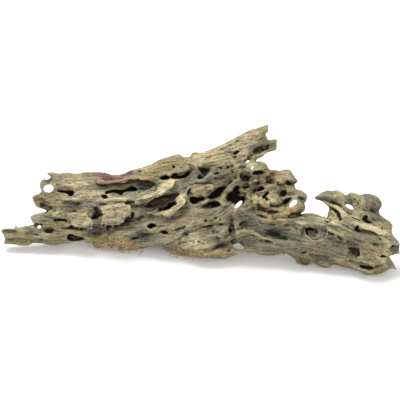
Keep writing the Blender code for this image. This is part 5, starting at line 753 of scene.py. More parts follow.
angle = grain_angle()
grain_along = fit_slopes(np.cos(angle), np.sin(angle))
grain_across = part_round_knots(fit_slopes(-np.sin(angle), np.cos(angle)))
print("grain runs", round(float(np.ptp(grain_along))), "mm along the log")

# %% [markdown]
# ## Cutting and raising
#
# A chain of tapered rods is the sculptor's stroke here. A cut has upright walls above its
# rods, so that it opens to the face; a raised part is the rods themselves. Each stroke works
# on the small block of the grid that it can touch, which keeps a hundred of them quick.

# %% Repeatable noise
class Noise:
    """Smooth noise: random values on a lattice, blended between its eight nearest corners."""

    def __init__(self, seed, size=32):
        self.size = size
        self.values = np.random.default_rng(seed).uniform(-1, 1, (size, size, size)).astype(np.float32)

    def __call__(self, x, y, z):
        """Weighted mean of the eight corners, each weight a product of 3t^2 - 2t^3."""
        total = 0.0
        cells = [np.floor(c).astype(np.int32) for c in (x, y, z)]
        parts = [c - i for c, i in zip((x, y, z), cells)]
        parts = [p * p * (3 - 2 * p) for p in parts]
        for corner in range(8):
            picks = []
            weight = 1.0
            for axis in range(3):
                step = corner >> axis & 1
                picks.append((cells[axis] + step) % self.size)
                weight = weight * (parts[axis] if step else 1 - parts[axis])
            total = total + weight * self.values[picks[0], picks[1], picks[2]]
        return total

    def ridged(self, x, y, z):
        """1 - 2 |noise|: sharp crests, round troughs."""
        return 1 - 2 * np.abs(self(x, y, z))


noise = Noise(7)


def swayed(place, level):
    """The plane's coordinates, pushed about by a millimetre, so that no edge is too smooth."""
    return (place + 1.1 * noise(ACROSS / 9, DOWN / 8, level)
            + 0.6 * noise(ACROSS / 3.8, DOWN / 3.4, level + 3))


SWAYED_ACROSS = swayed(ACROSS, 0.5)
SWAYED_DOWN = swayed(DOWN, 9.5)
print("sway, mm:", round(float(np.abs(SWAYED_ACROSS - ACROSS).max()), 1))


# %% Strokes
def block_around(points, reach):
    """Slices of the grid that hold the points and a border of `reach` mm."""
    flat = np.array(points)[:, :2]
    low = flat.min(axis=0) - reach
    high = flat.max(axis=0) + reach
    i = slice(*np.searchsorted(across_line, (low[0], high[0])))
    j = slice(*np.searchsorted(down_line, (low[1], high[1])))
    return i, j


def stroke_distance(i, j, face, stroke, trough):
    """Distance to a chain of tapered rods: root of (aside^2 + rise^2) less the radius, where
    rise is the height over the rod's middle, counted from the face. In a trough the rise
    above the rod is taken as nothing, which makes its walls upright."""
    base, sign = face
    x, v = SWAYED_ACROSS[i, j], SWAYED_DOWN[i, j]
    out = sign * (out_line[None, None, :] - base[i, j][:, :, None])
    nearest = np.full(out.shape, 1e9)
    for a, b in zip(stroke, stroke[1:]):
        dx, dv = b[0] - a[0], b[1] - a[1]
        t = np.clip(((x - a[0]) * dx + (v - a[1]) * dv) / max(dx * dx + dv * dv, 1e-9), 0, 1)
        aside2 = ((x - a[0] - t * dx) ** 2 + (v - a[1] - t * dv) ** 2)[:, :, None]
        rise = out - (a[2] + t * (b[2] - a[2]))[:, :, None]
        if trough:
            rise = np.minimum(rise, 0)
        radius = (a[3] + t * (b[3] - a[3]))[:, :, None]
        nearest = np.minimum(nearest, np.sqrt(aside2 + rise ** 2) - radius)
    return nearest


def cut(stroke, soft, face=seen_face):
    """Takes a trough out of the wood."""
    i, j = block_around(stroke, STROKE_BORDER + 2 * soft)
    field[i, j] = blend_max(field[i, j], -stroke_distance(i, j, face, stroke, True), soft)


def raise_rods(stroke, soft, face=seen_face):
    """Lays rods on the wood."""
    i, j = block_around(stroke, STROKE_BORDER + 2 * soft)
    field[i, j] = blend_min(field[i, j], stroke_distance(i, j, face, stroke, False), soft)


def bore(across, down, radius, depth, face=seen_face):
    """A round hole like those that wood borers leave: a trough of hardly any length."""
    cut([(across - 0.3, down, -depth, radius), (across + 0.3, down, -depth, radius)], 0.8, face)


# %% Sheets, limbs and openings
def lay_sheet(rim, half, soft):
    """A thin sheet that ends at its rim: root of (distance outside the shrunken rim^2 + height
    over the sheet^2) less half its thickness. Its height is the rim's, each point weighed by
    1 / (distance^2 + 2), and fine noise frays the rim."""
    i, j = block_around(rim, SHEET_BORDER)
    x, v = SWAYED_ACROSS[i, j], SWAYED_DOWN[i, j]
    inside = polygon_distance([p[:2] for p in rim], x, v) + 0.9 * noise(x / 2.5, v / 2.3, 2.5)
    outside = np.maximum(0.9 * half - inside, 0)
    height = np.zeros_like(x)
    total = np.zeros_like(x)
    for across, down, out in rim:
        weight = 1 / ((x - across) ** 2 + (v - down) ** 2 + 2)
        height += weight * out
        total += weight
    away = out_line[None, None, :] - (height / total + seen_face[0][i, j])[:, :, None]
    near = np.sqrt(outside[:, :, None] ** 2 + away ** 2) - half
    field[i, j] = blend_min(field[i, j], near, soft)


def add_limb(stroke, soft):
    """A limb that passes through the depth: a chain of tapered rods in all three directions."""
    i, j = block_around(stroke, LIMB_BORDER)
    x, v, d = ACROSS[i, j][:, :, None], DOWN[i, j][:, :, None], out_line[None, None, :]
    for a, b in zip(stroke, stroke[1:]):
        run = [b[n] - a[n] for n in range(3)]
        t = ((x - a[0]) * run[0] + (v - a[1]) * run[1] + (d - a[2]) * run[2]) / sum(r * r for r in run)
        t = np.clip(t, 0, 1)
        away = np.sqrt((x - a[0] - t * run[0]) ** 2 + (v - a[1] - t * run[1]) ** 2
                       + (d - a[2] - t * run[2]) ** 2)
        field[i, j] = blend_min(field[i, j], away - (a[3] + t * (b[3] - a[3])), soft)


def dent(across, down, length, width, turn, depth):
    """A soft dent: the surface moves in by depth * exp(-(along / length)^2 - (aside / width)^2),
    on the seen side only."""
    i, j = block_around([(across, down)], 2.4 * max(length, width))
    x, v = SWAYED_ACROSS[i, j] - across, SWAYED_DOWN[i, j] - down
    c, s = math.cos(math.radians(turn)), math.sin(math.radians(turn))
    far = ((x * c + v * s) / length) ** 2 + ((v * c - x * s) / width) ** 2
    near = np.clip(0.5 + (out_line[None, None, :] - middle[i, j][:, :, None]) / 8, 0, 1)
    field[i, j] += depth * np.exp(-far)[:, :, None] * near


def open_pit(depth, points):
    """A pit with a drawn mouth: what lies inside the mouth and above its floor is taken out. It
    narrows by 0.06 mm for each mm of depth; noise tears its walls and makes its floor uneven."""
    i, j = block_around(points, PIT_BORDER)
    x, v, d = ACROSS[i, j][:, :, None], DOWN[i, j][:, :, None], out_line[None, None, :]
    mouth = polygon_distance(points, x[:, :, 0], v[:, :, 0])[:, :, None]
    below = np.minimum(d - seen_face[0][i, j][:, :, None], 0)
    torn = 0.3 + 0.9 * noise(x / 3.4, v / 3, d / 4)
    uneven = 2.2 * noise(x / 6, v / 5, 4.5)
    hole = np.minimum(mouth + torn + 0.06 * below, below + depth + uneven)
    field[i, j] = blend_max(field[i, j], hole, 0.7)


def open_window(points):
    """An opening that goes right through, square to the plane."""
    i, j = block_around(points, OPENING_BORDER)
    hole = polygon_distance(points, ACROSS[i, j], DOWN[i, j])[:, :, None]
    field[i, j] = blend_max(field[i, j], hole, 1.2)


# %% [markdown]
# ## The hidden side
#
# The far side can't be seen from the front, but it has weathered in the same way. A seeded
# rule lays troughs, ridges and bores along the grain there, and a broken limb props the log.

# %% Wear on the hidden side
def plane_value(block, place):
    """Value of a map at the cell nearest to a place."""
    i = int(np.clip(round((place[0] - across_line[0]) / GRID_STEP), 0, len(across_line) - 1))
    j = int(np.clip(round((place[1] - down_line[0]) / GRID_STEP), 0, len(down_line) - 1))
    return block[i, j]


def follow_grain(start, length, pieces=5):
    """Steps along the grain from a start, turning with it."""
    points = [start]
    for _ in range(pieces):
        turn = plane_value(angle, points[-1])
        x = points[-1][0] + math.cos(turn) * length / pieces
        v = points[-1][1] + math.sin(turn) * length / pieces
        points.append((x, v))
    return points


def wear_hidden_side(strokes=170, bores=40, seed=21):
    """Troughs, ridges and bores that start at random places. Two strokes of three are troughs,
    and all run along the grain. A rod's radius swells as a sine over its length. A line that
    leaves the thick wood is left out."""
    rng = np.random.default_rng(seed)

    def anywhere():
        return rng.uniform(5, 395), rng.uniform(130, 270)

    for number in range(strokes):
        start = anywhere()
        length, size, lift = rng.uniform(12, 58), rng.uniform(2.0, 6.5), rng.uniform(-0.7, 0.4)
        line = follow_grain(start, length)
        swell = np.sin(np.linspace(0.35, math.pi - 0.35, len(line)))
        if min(plane_value(half_squared, place) for place in (line[0], line[2], line[-1])) < 80:
            continue
        if number % 3:
            cut([(x, v, lift * size, size * (0.4 + 0.6 * s)) for (x, v), s in zip(line, swell)], 1.8,
                hidden_face)
        else:
            raise_rods([(x, v, 0.2 * size, 0.6 * size * s) for (x, v), s in zip(line, swell)], 2.0,
                       hidden_face)
    for _ in range(bores):
        start = anywhere()
        radius, depth = rng.uniform(1.6, 3.6), rng.uniform(8, 15)
        if plane_value(half_squared, start) > 90:
            bore(start[0], start[1], radius, depth, hidden_face)


wear_hidden_side()
add_limb(PROP, 7.0)
print("wood after the hidden side, cm3:", round(float((field < 0).sum()) * GRID_STEP ** 3 / 1000))

# %% [markdown]
# ## The seen side
#
# Now the strokes that were drawn, in their order: dents, hollows, raised parts,
# sheets, slits.

# %% Wear on the seen side
for place in DENTS:
    dent(*place)
for _, soft, stroke in HOLLOWS:
    cut(stroke, soft)
for _, soft, stroke in RAISED:
    raise_rods(stroke, soft)
for _, half, soft, rim in SHEETS:
    lay_sheet(rim, half, soft)
for _, soft, stroke in SLITS:
    cut(stroke, soft)
print("wood after the strokes, cm3:", round(float((field < 0).sum()) * GRID_STEP ** 3 / 1000))

# %% [markdown]
# ## Relief along the grain
#
# Soft early wood is gone and hard late wood stands out, so the surface is a pile of ridges
# and small ledges. The relief is noise read at the grain coordinates: stretched along the
# grain, close together across it and into the depth. It moves the surface by a millimetre or
# two, so only the cells near the surface are worked on.

# %% Ridges, ledges and knobs
def grain_relief(along, across, out):
    """Two sets of ridged noise, ledges and fine fibres, in mm. A ledge climbs for four fifths of
    its width and drops for the last fifth, as split wood does."""
    relief = 1.3 * noise.ridged(along / 60 + 3, across / 10.5, out / 11)
    relief += 0.9 * noise.ridged(along / 30 + 9, across / 5.4 + 4, out / 6.5)
    layer = (0.55 * across + out + 2.5 * noise(along / 28, across / 12, out / 14 + 20)) / 6.5
    step = layer - np.floor(layer)
    ledge = np.where(step < 0.8, step / 0.8, (1 - step) / 0.2) - 0.5
    relief += 1.7 * ledge * np.clip(0.3 + noise(along / 50 + 7, across / 20, out / 20), 0, 1)
    return relief + FINE_RELIEF * noise.ridged(along / 20 + 1, across / 2.9, out / 3.6)


def rough_places():
    """How knobbly each place is: the highest of height * exp(-(distance / radius)^2)."""
    rough = np.zeros_like(ACROSS)
    for across, down, radius, height in ROUGH:
        far = (ACROSS - across) ** 2 + (DOWN - down) ** 2
        rough = np.maximum(rough, height * np.exp(-far / radius ** 2))
    return rough


def lay_relief():
    """Moves the surface by the grain's relief, lively in some places and calm in others, and by
    lumps and knobs that run no special way. Thin wood gets less of it."""
    i, j, k = np.nonzero(np.abs(field) < 7)
    along = grain_along[i, j].astype(np.float32)
    across = grain_across[i, j].astype(np.float32)
    out = (out_line[k] - middle[i, j]).astype(np.float32)
    x, v, d = across_line[i], down_line[j], out_line[k]
    across = across + 3.0 * noise(along / 45, across / 16, out / 16 + 5)
    lively = np.clip(0.75 + 0.9 * noise(x / 24, v / 20, d / 22), 0.25, 1.3)
    relief = grain_relief(along, across, out) * lively
    relief += 1.0 * noise(x / 13, v / 11, d / 12) + 0.5 * noise(x / 5, v / 4.6, d / 5)
    knobs = noise.ridged(x / 6.8, v / 5.4, d / 6.4) + 0.6 * noise.ridged(x / 3.8, v / 3.4, d / 3.8)
    relief += rough_places()[i, j] * knobs
    field[i, j, k] -= relief * np.clip(thick[i, j] / 14, 0.35, 1) - 0.35


lay_relief()
print("wood after the relief, cm3:", round(float((field < 0).sum()) * GRID_STEP ** 3 / 1000))

# %% [markdown]
# ## Pits, crumbs, openings and the ground
#
# Sharp-edged things come after the relief, so that it doesn't blur them. The heart of the
# knots has rotted to crumbs, which a seeded rule scatters there. Last, what would lie below
# the ground is cut off flat, which gives the log its small feet.

# %% Cut them
def scatter_crumbs(count=44, seed=23):
    """Thin bent rods, spread like a bell round the heart of the knots. Their ends lie a little
    deeper than their middle."""
    rng = np.random.default_rng(seed)
    for _ in range(count):
        across, down = 255 + 8 * rng.normal(), 184.5 + 6.5 * rng.normal()
        turn, half = rng.uniform(-1.3, 0.4), rng.uniform(1.2, 3.4)
        side, drop, out = half * math.cos(turn), half * math.sin(turn), rng.uniform(-4.5, -0.8)
        middle_radius = rng.uniform(0.7, 1.2)
        raise_rods([(across - side, down - drop, out - 1, 0.5), (across, down, out, middle_radius),
                    (across + side, down + drop, out - 0.6, 0.4)], 0.4)


for depth, points in PITS.values():
    open_pit(depth, points)
for place in BORES:
    bore(*place)
scatter_crumbs()
for points in WINDOWS.values():
    open_window(points)
height = ((GROUND_DOWN - DOWN) * math.cos(LEAN))[:, :, None] + out_line[None, None, :] * math.sin(LEAN)
field = np.maximum(field, -height)
print("finished wood, cm3:", round(float((field < 0).sum()) * GRID_STEP ** 3 / 1000))

# %% [markdown]
# ## From the field to a closed mesh
#
# A surface net puts one vertex into each cell that the surface crosses, and one quad across
# each grid edge whose ends lie on different sides. The result is closed by construction. Only
# corner patterns that would pinch it to a point need care, and those cells are filled.

# %% Corner patterns
def corner_views(grid):
    """The eight corners of every cell, as views on the grid."""
    views = []
    for corner in range(8):
        cuts = [slice(1, None) if corner >> axis & 1 else slice(None, -1) for axis in range(3)]
        views.append(grid[cuts[0], cuts[1], cuts[2]])
    return views


def is_simple(pattern):
    """Whether the inner corners of a cell hang together, and the outer ones too. Corners are
    neighbours when their numbers differ in one bit."""
    for side in (0, 1):
        members = {c for c in range(8) if (pattern >> c & 1) == side}
        group = [members.pop()] if members else []
        for corner in group:
            near = members & {corner ^ 1, corner ^ 2, corner ^ 4}
            members -= near
            group.extend(near)
        if members:
            return False
    return True


def make_simple(field, rounds=60):
    """Fills the cells whose pattern isn't simple, until none is left or the rounds are over."""
    good = np.array([is_simple(pattern) for pattern in range(256)])
    for _ in range(rounds):
        corners = corner_views(field < 0)
        pattern = sum(view.astype(np.int32) << corner for corner, view in enumerate(corners))
        bad = np.argwhere(~good[pattern])
        if not len(bad):
            break
        for i, j, k in bad:
            cell = field[i:i + 2, j:j + 2, k:k + 2]
            cell[cell >= 0] = -0.05
    return field


field = make_simple(field)


# %% The surface net
def net_vertices(field, cells):
    """One vertex per cell: the mean of the places where its edges cross zero, each found from
    f0 / (f0 - f1) along the edge."""
    total = np.zeros((len(cells), 3))
    crossings = np.zeros(len(cells))
    for axis in range(3):
        for c in range(8):
            if c >> axis & 1:
                continue
            corner = np.array([c & 1, c >> 1 & 1, c >> 2 & 1])
            f0 = field[tuple((cells + corner).T)]
            f1 = field[tuple((cells + corner + np.eye(3, dtype=int)[axis]).T)]
            hit = (f0 < 0) != (f1 < 0)
            t = np.where(hit, f0 / np.where(hit, f0 - f1, 1), 0)
            total += (corner + t[:, None] * np.eye(3)[axis]) * hit[:, None]
            crossings += hit
    return cells + total / crossings[:, None]


def surface_net(field):
    """Vertices in grid cells and quads round every grid edge that crosses the surface. A quad
    is turned so that it faces away from the wood."""
    inside = field < 0
    count = sum(view.astype(np.int8) for view in corner_views(inside))
    active = (count > 0) & (count < 8)
    cells = np.argwhere(active)
    number = np.full(active.shape, -1, np.int64)
    number[active] = np.arange(len(cells))
    faces = []
    for axis in range(3):
        a, b = [n for n in range(3) if n != axis]
        here = [slice(1, -1)] * 3
        here[axis] = slice(None, -1)
        there = list(here)
        there[axis] = slice(1, None)
        f0 = inside[tuple(here)]
        edges = np.argwhere(f0 != inside[tuple(there)])
        base = edges + (np.arange(3) != axis)
        ring = []
        for da, db in ((1, 1), (0, 1), (0, 0), (1, 0)):
            cell = base.copy()
            cell[:, a] -= da
            cell[:, b] -= db
            ring.append(number[tuple(cell.T)])
        quad = np.stack(ring, axis=1)
        turned = f0[tuple(edges.T)] == (axis == 1)
        quad[turned] = quad[turned][:, ::-1]
        faces.append(quad)
    return net_vertices(field, cells), np.concatenate(faces)


def largest_body(vertices, faces):
    """Keeps the largest connected skin: every vertex takes the lowest number among its
    neighbours until nothing changes. Crumbs and closed bubbles are left out."""
    label = np.arange(len(vertices))
    while True:
        lowest = label[faces].min(axis=1)
        before = label.copy()
        for column in range(faces.shape[1]):
            np.minimum.at(label, faces[:, column], lowest)
        label = label[label]
        if (label == before).all():
            break
    owner = label[faces[:, 0]]
    names, counts = np.unique(owner, return_counts=True)
    faces = faces[owner == names[counts.argmax()]]
    used = np.unique(faces)
    new = np.zeros(len(vertices), np.int64)
    new[used] = np.arange(len(used))
    return vertices[used], new[faces]


vertices, faces = largest_body(*surface_net(field))
print("skin:", len(vertices), "vertices,", 2 * len(faces), "triangles")

# %% Place the skin in the frame
across_v, down_v, out_v = (np.array([across_line[0], down_line[0], out_line[0]]) + vertices * GRID_STEP).T
points = to_world(across_v, down_v, out_v)
points = np.clip(points, np.array(frame_low), np.array(frame_high))


def new_piece(name, points, faces, smooth=True):
    """A mesh object from whole arrays of points and faces."""
    mesh = bpy.data.meshes.new(name)
    mesh.vertices.add(len(points))
    mesh.vertices.foreach_set("co", points.astype(np.float32).ravel())
    sides = faces.shape[1]
    mesh.loops.add(faces.size)
    mesh.loops.foreach_set("vertex_index", faces.astype(np.int32).ravel())
    mesh.polygons.add(len(faces))
    mesh.polygons.foreach_set("loop_start", np.arange(0, faces.size, sides, dtype=np.int32))
    mesh.polygons.foreach_set("use_smooth", np.full(len(faces), smooth))
    mesh.update(calc_edges=True)
    mesh.validate()
    piece = bpy.data.objects.new(name, mesh)
    bpy.context.scene.collection.objects.link(piece)
    return piece


log = new_piece("worn_log", points, faces)
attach(log, "root")
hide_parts("honeycomb_wood")
print("log placed after", round(time.time() - started, 1), "s")

# %% [markdown]
# ## What the colours need to know
#
# The colour of old wood tells where it was: pale on rubbed ridges, grey in hollows, slate where
# it stayed damp, brown in the heartwood. So each vertex stores how deep it lies among its
# surroundings and below the bare face, which also sets the painted shade in hollows and pits
# and the painted highlight on crests, its grain coordinates, and the local colour of its place.

# %% Depth among the surroundings
def box_blur(block, radius, times=3):
    """Mean over a cube, by differences of running sums; three times over is nearly a bell."""
    size = max(1, int(round(radius / GRID_STEP)))
    for _ in range(times):
        for axis in range(3):
            pad = [(size + 1, size) if n == axis else (0, 0) for n in range(3)]
            sums = np.cumsum(np.pad(block, pad, mode="edge"), axis=axis, dtype=np.float32)
            high = np.take(sums, range(2 * size + 1, sums.shape[axis]), axis=axis)
            low = np.take(sums, range(0, sums.shape[axis] - 2 * size - 1), axis=axis)
            block = (high - low) / (2 * size + 1)
    return block


def sample(block, places):
    """Value of a grid block at fractional cells: blended between the eight corners."""
    cells = np.clip(np.floor(places).astype(int), 0, np.array(block.shape) - 2)
    parts = places - cells
    total = 0.0
    for corner in range(8):
        step = np.array([corner & 1, corner >> 1 & 1, corner >> 2 & 1])
        weight = np.prod(np.where(step, parts, 1 - parts), axis=1)
        total = total + weight * block[tuple((cells + step).T)]
    return total


solid = np.clip(0.5 - field / GRID_STEP, 0, 1).astype(np.float32)
enclosed_near = sample(box_blur(solid, 1.6), vertices)
enclosed_far = sample(box_blur(solid, 4.6), vertices)
print("enclosed, from crest to bore:", [round(float(n), 2) for n in np.percentile(enclosed_far, (2, 50, 98))])


# %% Grain coordinates at each vertex
def plane_sample(block, places):
    """Value of a map on the plane at fractional cells."""
    return sample(np.repeat(block[:, :, None], 2, axis=2), places * (1, 1, 0))


along_g = plane_sample(grain_along, vertices)
across_g = plane_sample(grain_across, vertices)
out_g = out_v - plane_sample(middle, vertices)
sunk = np.sqrt(np.maximum(plane_sample(half_squared, vertices), 0)) - np.abs(out_g)
print("below the bare face, mm:", [round(float(n), 1) for n in np.percentile(sunk, (50, 90, 99))])
across_g = across_g + 3.0 * noise(along_g / 45, across_g / 16, out_g / 16 + 5)
print("grain across, mm:", round(float(np.ptp(across_g))))

# %% [markdown]
# ## Tints
#
# Each tint is a soft patch (across, down, length along the grain, width across it, colour).
# They overlap like washes of water colour, later ones on top.

# %% Patches of colour
CREAM = (0.64, 0.55, 0.35)
PALE = (0.53, 0.46, 0.29)
SAND = (0.42, 0.355, 0.215)
STRAW = (0.46, 0.41, 0.22)
OCHRE = (0.39, 0.3, 0.145)
TAN = (0.33, 0.275, 0.16)
ASH = (0.3, 0.275, 0.195)
GREEN_GREY = (0.25, 0.255, 0.185)
OLIVE = (0.235, 0.2, 0.105)
GREY = (0.21, 0.195, 0.14)
UMBER = (0.175, 0.135, 0.07)
STONE = (0.15, 0.14, 0.1)
BROWN = (0.11, 0.088, 0.048)
DARK_GREY = (0.105, 0.098, 0.07)
SLATE = (0.08, 0.084, 0.07)
ROSE = (0.28, 0.165, 0.13)
WINE = (0.16, 0.1, 0.08)
# Most patches are the wood's own colour. The dark ones beside and under the big plate, in the big
# hollow behind the crescent lip, in the plank's grooves and the slot in the second tongue, under
# the grey plate, under the stub's lower prong and in the red bore are painted shade.
TINTS = [
    # Upper plank and its lip
    (80, 180, 44, 7, SAND), (58, 177, 14, 4, ASH), (72, 176.5, 9, 2.6, STRAW), (91, 176, 9, 3, ASH),
    (76, 186, 20, 4, PALE), (60, 188, 9, 3, GREY), (85, 195, 24, 6, PALE), (99, 186, 13, 3, GREY),
    (47, 180, 6, 3.5, DARK_GREY), (42, 184, 3, 6, GREY), (51, 184, 3, 3, PALE), (148, 170, 34, 8, SAND),
    (176, 160, 18, 5, SAND), (150, 173, 16, 3, OCHRE), (134, 174, 10, 3.5, TAN), (170, 163, 9, 3, OCHRE),
    (189, 163, 7, 4, TAN), (197, 158, 10, 5, SAND), (112, 180, 18, 4.5, ROSE), (99, 174.5, 10, 3, ROSE),
    (107, 177.5, 6, 3.5, WINE), (127, 173, 7, 2.8, WINE), (140, 189, 16, 7, GREEN_GREY),
    (110, 187, 14, 3, GREY), (165, 184, 18, 5, PALE), (150, 196, 26, 3.5, PALE), (114, 199, 18, 3, PALE),
    (125, 195, 12, 3, GREEN_GREY), (154, 189, 7, 3, DARK_GREY),
    # Tongues at the left
    (44, 197, 14, 5, OLIVE), (40, 200, 8, 3, UMBER), (48, 205, 9, 3, GREY), (56, 203, 8, 5, STRAW),
    (62, 196, 9, 3, TAN), (70, 203, 10, 4, SAND), (48, 218, 20, 6, TAN), (38, 216, 8, 4, ASH),
    (58, 211, 12, 3, STRAW), (50, 219, 10, 2.5, GREY), (60, 221, 8, 2, STONE), (56, 226, 18, 3.5, TAN),
    (44, 236, 10, 3, STRAW), (56, 236, 12, 4, TAN), (48, 230.5, 7, 2, DARK_GREY), (22, 236, 20, 8, TAN),
    (10, 231, 8, 3, DARK_GREY), (30, 233, 6, 4, STONE), (24, 227, 10, 3, ASH), (15, 242, 12, 3, OLIVE),
    (54, 242, 22, 3, OLIVE), (38, 240, 8, 3, GREY), (78, 231, 16, 4, TAN), (90, 238, 8, 4, STRAW),
    # Middle of the slab
    (78, 207, 22, 4, GREY), (88, 202, 20, 4, ASH), (102, 206, 10, 4, GREY), (114, 210, 18, 9, PALE),
    (112, 218, 14, 4, SAND), (81, 217, 14, 6, SAND), (80, 223, 12, 3, PALE), (97, 215, 6, 7, STONE),
    (100, 230, 15, 8, STONE), (95, 231, 9, 7, DARK_GREY), (117, 226.5, 18, 3.6, STONE),
    (135, 219, 9, 5, GREY), (120, 234, 18, 4, SAND), (112, 242, 28, 5, OCHRE), (102, 240, 10, 4, TAN),
    (140, 238, 14, 6, GREY), (143, 237, 8, 3, DARK_GREY), (157, 239, 12, 7, GREEN_GREY),
    (140, 227, 12, 4, ASH), (152, 216, 20, 5, ASH), (166, 219, 12, 4, GREY), (170, 226, 16, 5, SAND),
    (186, 221, 10, 6, SAND), (178, 236, 18, 5, PALE), (200, 238, 26, 9, PALE), (188, 232, 16, 1.8, GREY),
    (193, 247, 26, 3, PALE), (202, 253, 34, 3.5, OCHRE), (178, 250, 14, 2.5, UMBER),
    (168, 246, 10, 3, GREY), (155, 203, 24, 7, GREY), (151, 204, 12, 5, STONE), (166, 195, 14, 3, STONE),
    (181, 203, 6, 9, PALE), (170, 211, 13, 3, PALE), (183, 197, 4, 5, CREAM),
    (188, 186, 18, 6, GREEN_GREY), (187, 174, 7, 5, GREY), (203, 174, 8, 6, SLATE),
    (200, 164, 8, 3, STRAW), (199, 190, 12, 7, TAN), (197, 193, 8, 2.5, OCHRE), (192, 209, 12, 7, ASH),
    (203, 219, 10, 6, SAND), (212, 233, 14, 9, ASH), (205, 229, 10, 4, SAND), (222, 245, 9, 5, DARK_GREY),
    (215, 214, 14, 4, ASH), (216, 224, 14, 2.2, UMBER), (211, 203, 10, 4, BROWN),
    (217, 192, 12, 7, BROWN), (230, 198, 5, 7, SLATE), (228, 236, 8, 4, BROWN),
    (231, 219, 4, 7, DARK_GREY), (237, 224, 4, 9, ASH), (213, 186, 8, 3, SAND),
    # Stub
    (235, 144, 40, 9, SAND), (246, 139, 22, 5, PALE), (264, 130, 6, 6, TAN), (262, 147, 14, 5, STONE),
    (270, 147, 8, 2.5, DARK_GREY), (274, 147, 4, 3, ASH), (252, 155, 12, 2.5, BROWN),
    (236, 152, 7, 3, BROWN), (244, 153, 6, 5, PALE), (206, 156, 12, 5, PALE), (218, 159, 12, 4, STRAW),
    (226, 163, 12, 2.5, STRAW), (236, 172, 6, 12, OLIVE), (236, 168, 4, 6, STRAW), (242, 165, 4, 4, GREY),
    (225, 167, 7, 4, DARK_GREY), (218, 172, 10, 5, STONE), (224, 178, 12, 6, GREY),
    (210, 178, 10, 4, GREEN_GREY),
    # Knots
    (256, 183, 24, 12, UMBER), (246, 177, 7, 9, BROWN), (253, 165, 5, 6, STRAW), (262, 164, 7, 4, TAN),
    (261, 173, 9, 4, BROWN), (271, 176, 7, 6, UMBER), (268, 171, 5, 3, OCHRE), (255, 182, 10, 2.5, TAN),
    (251, 188, 12, 4, BROWN), (285, 176, 11, 7, SAND), (290, 182, 7, 2.5, STONE),
    (283, 191, 7, 5, DARK_GREY), (268, 199, 12, 8, SAND), (266, 204, 9, 3, PALE), (254, 199, 7, 5, SAND),
    (244, 192, 8, 4, OLIVE), (257, 208, 14, 3.5, UMBER), (263, 206, 8, 1.8, OCHRE),
    (256, 215, 12, 2.5, ASH), (276, 217, 20, 4, OCHRE), (264, 212, 12, 2.5, UMBER),
    (294, 209, 14, 4, OCHRE), (298, 197, 10, 4, SAND), (303, 199, 4, 3, GREY), (286, 203, 5, 5, STONE),
    (276, 209, 10, 3, TAN), (250, 222, 13, 6, DARK_GREY), (243, 216, 5, 8, GREY), (238, 213, 4, 4, OLIVE),
    (262, 224, 10, 4, GREEN_GREY), (282, 222, 14, 3, OLIVE), (296, 220, 10, 4, GREY),
    (300, 222, 7, 1.8, PALE), (290, 190, 6, 4, TAN),
    # Log
    (290, 242, 62, 13, GREY), (264, 229, 14, 4, GREEN_GREY), (262, 236, 14, 2.5, ASH),
    (276, 234, 10, 5, SLATE), (286, 232, 8, 5, STONE), (246, 242, 10, 7, STONE), (268, 247, 18, 5, GREY),
    (254, 251, 12, 3, TAN), (300, 234, 10, 8, GREY), (311, 232, 7, 4, UMBER), (304, 231, 3, 5, BROWN),
    (308, 243, 10, 4, GREEN_GREY), (316, 250, 14, 5, OLIVE), (320, 246, 6, 4, UMBER),
    (303, 258, 12, 3, OLIVE), (304, 262, 7, 3, BROWN), (312, 219, 16, 6, ASH), (322, 230, 5, 6, STONE),
    (329, 222, 12, 5, PALE), (336, 229, 14, 3, GREY), (344, 233, 7, 3, STRAW), (334, 241, 20, 6, STONE),
    (334, 251, 22, 4, GREY), (326, 260, 16, 5, STONE), (352, 241, 9, 5, STONE),
    (353, 251, 6, 7, DARK_GREY), (347, 262, 16, 3, TAN), (348, 214, 20, 7, PALE), (350, 222, 20, 5, SAND),
    (374, 228, 22, 7, PALE), (386, 236, 10, 6, PALE), (369, 202, 13, 8, GREY), (373, 208, 8, 5, STONE),
    (382, 218, 10, 6, GREY), (389, 224, 5, 6, TAN), (357, 202, 7, 7, SAND), (355, 194.5, 7, 2, STRAW),
    (350, 201, 5, 4, GREY), (364, 218, 7, 4, GREY), (357, 229, 9, 3, STONE), (324, 196, 14, 4, ASH),
    (317, 198, 4, 2.5, STONE), (338, 193, 6, 4, STRAW), (334, 201, 16, 3, GREY),
    (330, 205, 14, 2.6, STRAW), (346, 209, 12, 3, ASH), (334, 214, 5, 6, STRAW), (374, 240, 16, 3, ASH),
    (374, 247, 16, 4, TAN), (370, 256, 13, 7, OLIVE), (380, 257, 8, 4, STRAW), (386, 250, 4, 11, STRAW),
    (395, 249, 5, 5, STONE), (394, 241, 6, 4, ASH), (364, 266, 10, 3, DARK_GREY),
    (376, 270, 18, 4, OLIVE), (391, 264, 5, 6, GREY),
]


def wash(places, fallback):
    """Local colour at each vertex, and how far it is covered. Each patch in turn covers what is
    there by exp(-far^5), with far^2 = (along / length)^2 + (aside / width)^2, along the grain."""
    colour = np.tile(np.array(fallback), (len(vertices), 1))
    covered = np.zeros(len(vertices))
    ruffle = 2.4 * noise(across_v / 5, down_v / 3, out_v / 4)
    ruffle += noise(across_v / 1.9, down_v / 1.6, out_v / 2)
    for across, down, length, width, tint in places:
        turn = plane_value(angle, (across, down))
        da, dd = across_v - across + ruffle, down_v - down + ruffle
        c, s = math.cos(turn), math.sin(turn)
        far = ((da * c + dd * s) / length) ** 2 + ((dd * c - da * s) / width) ** 2
        cover = np.exp(-far ** 2.5)
        colour += (np.array(tint) - colour) * cover[:, None]
        covered += (1 - covered) * cover
    return colour, covered


tint, covered = wash(TINTS, TAN)
covered *= np.clip(0.5 + out_g / 8, 0, 1)
print("share of tinted vertices:", round(float((covered > 0.3).mean()), 2))


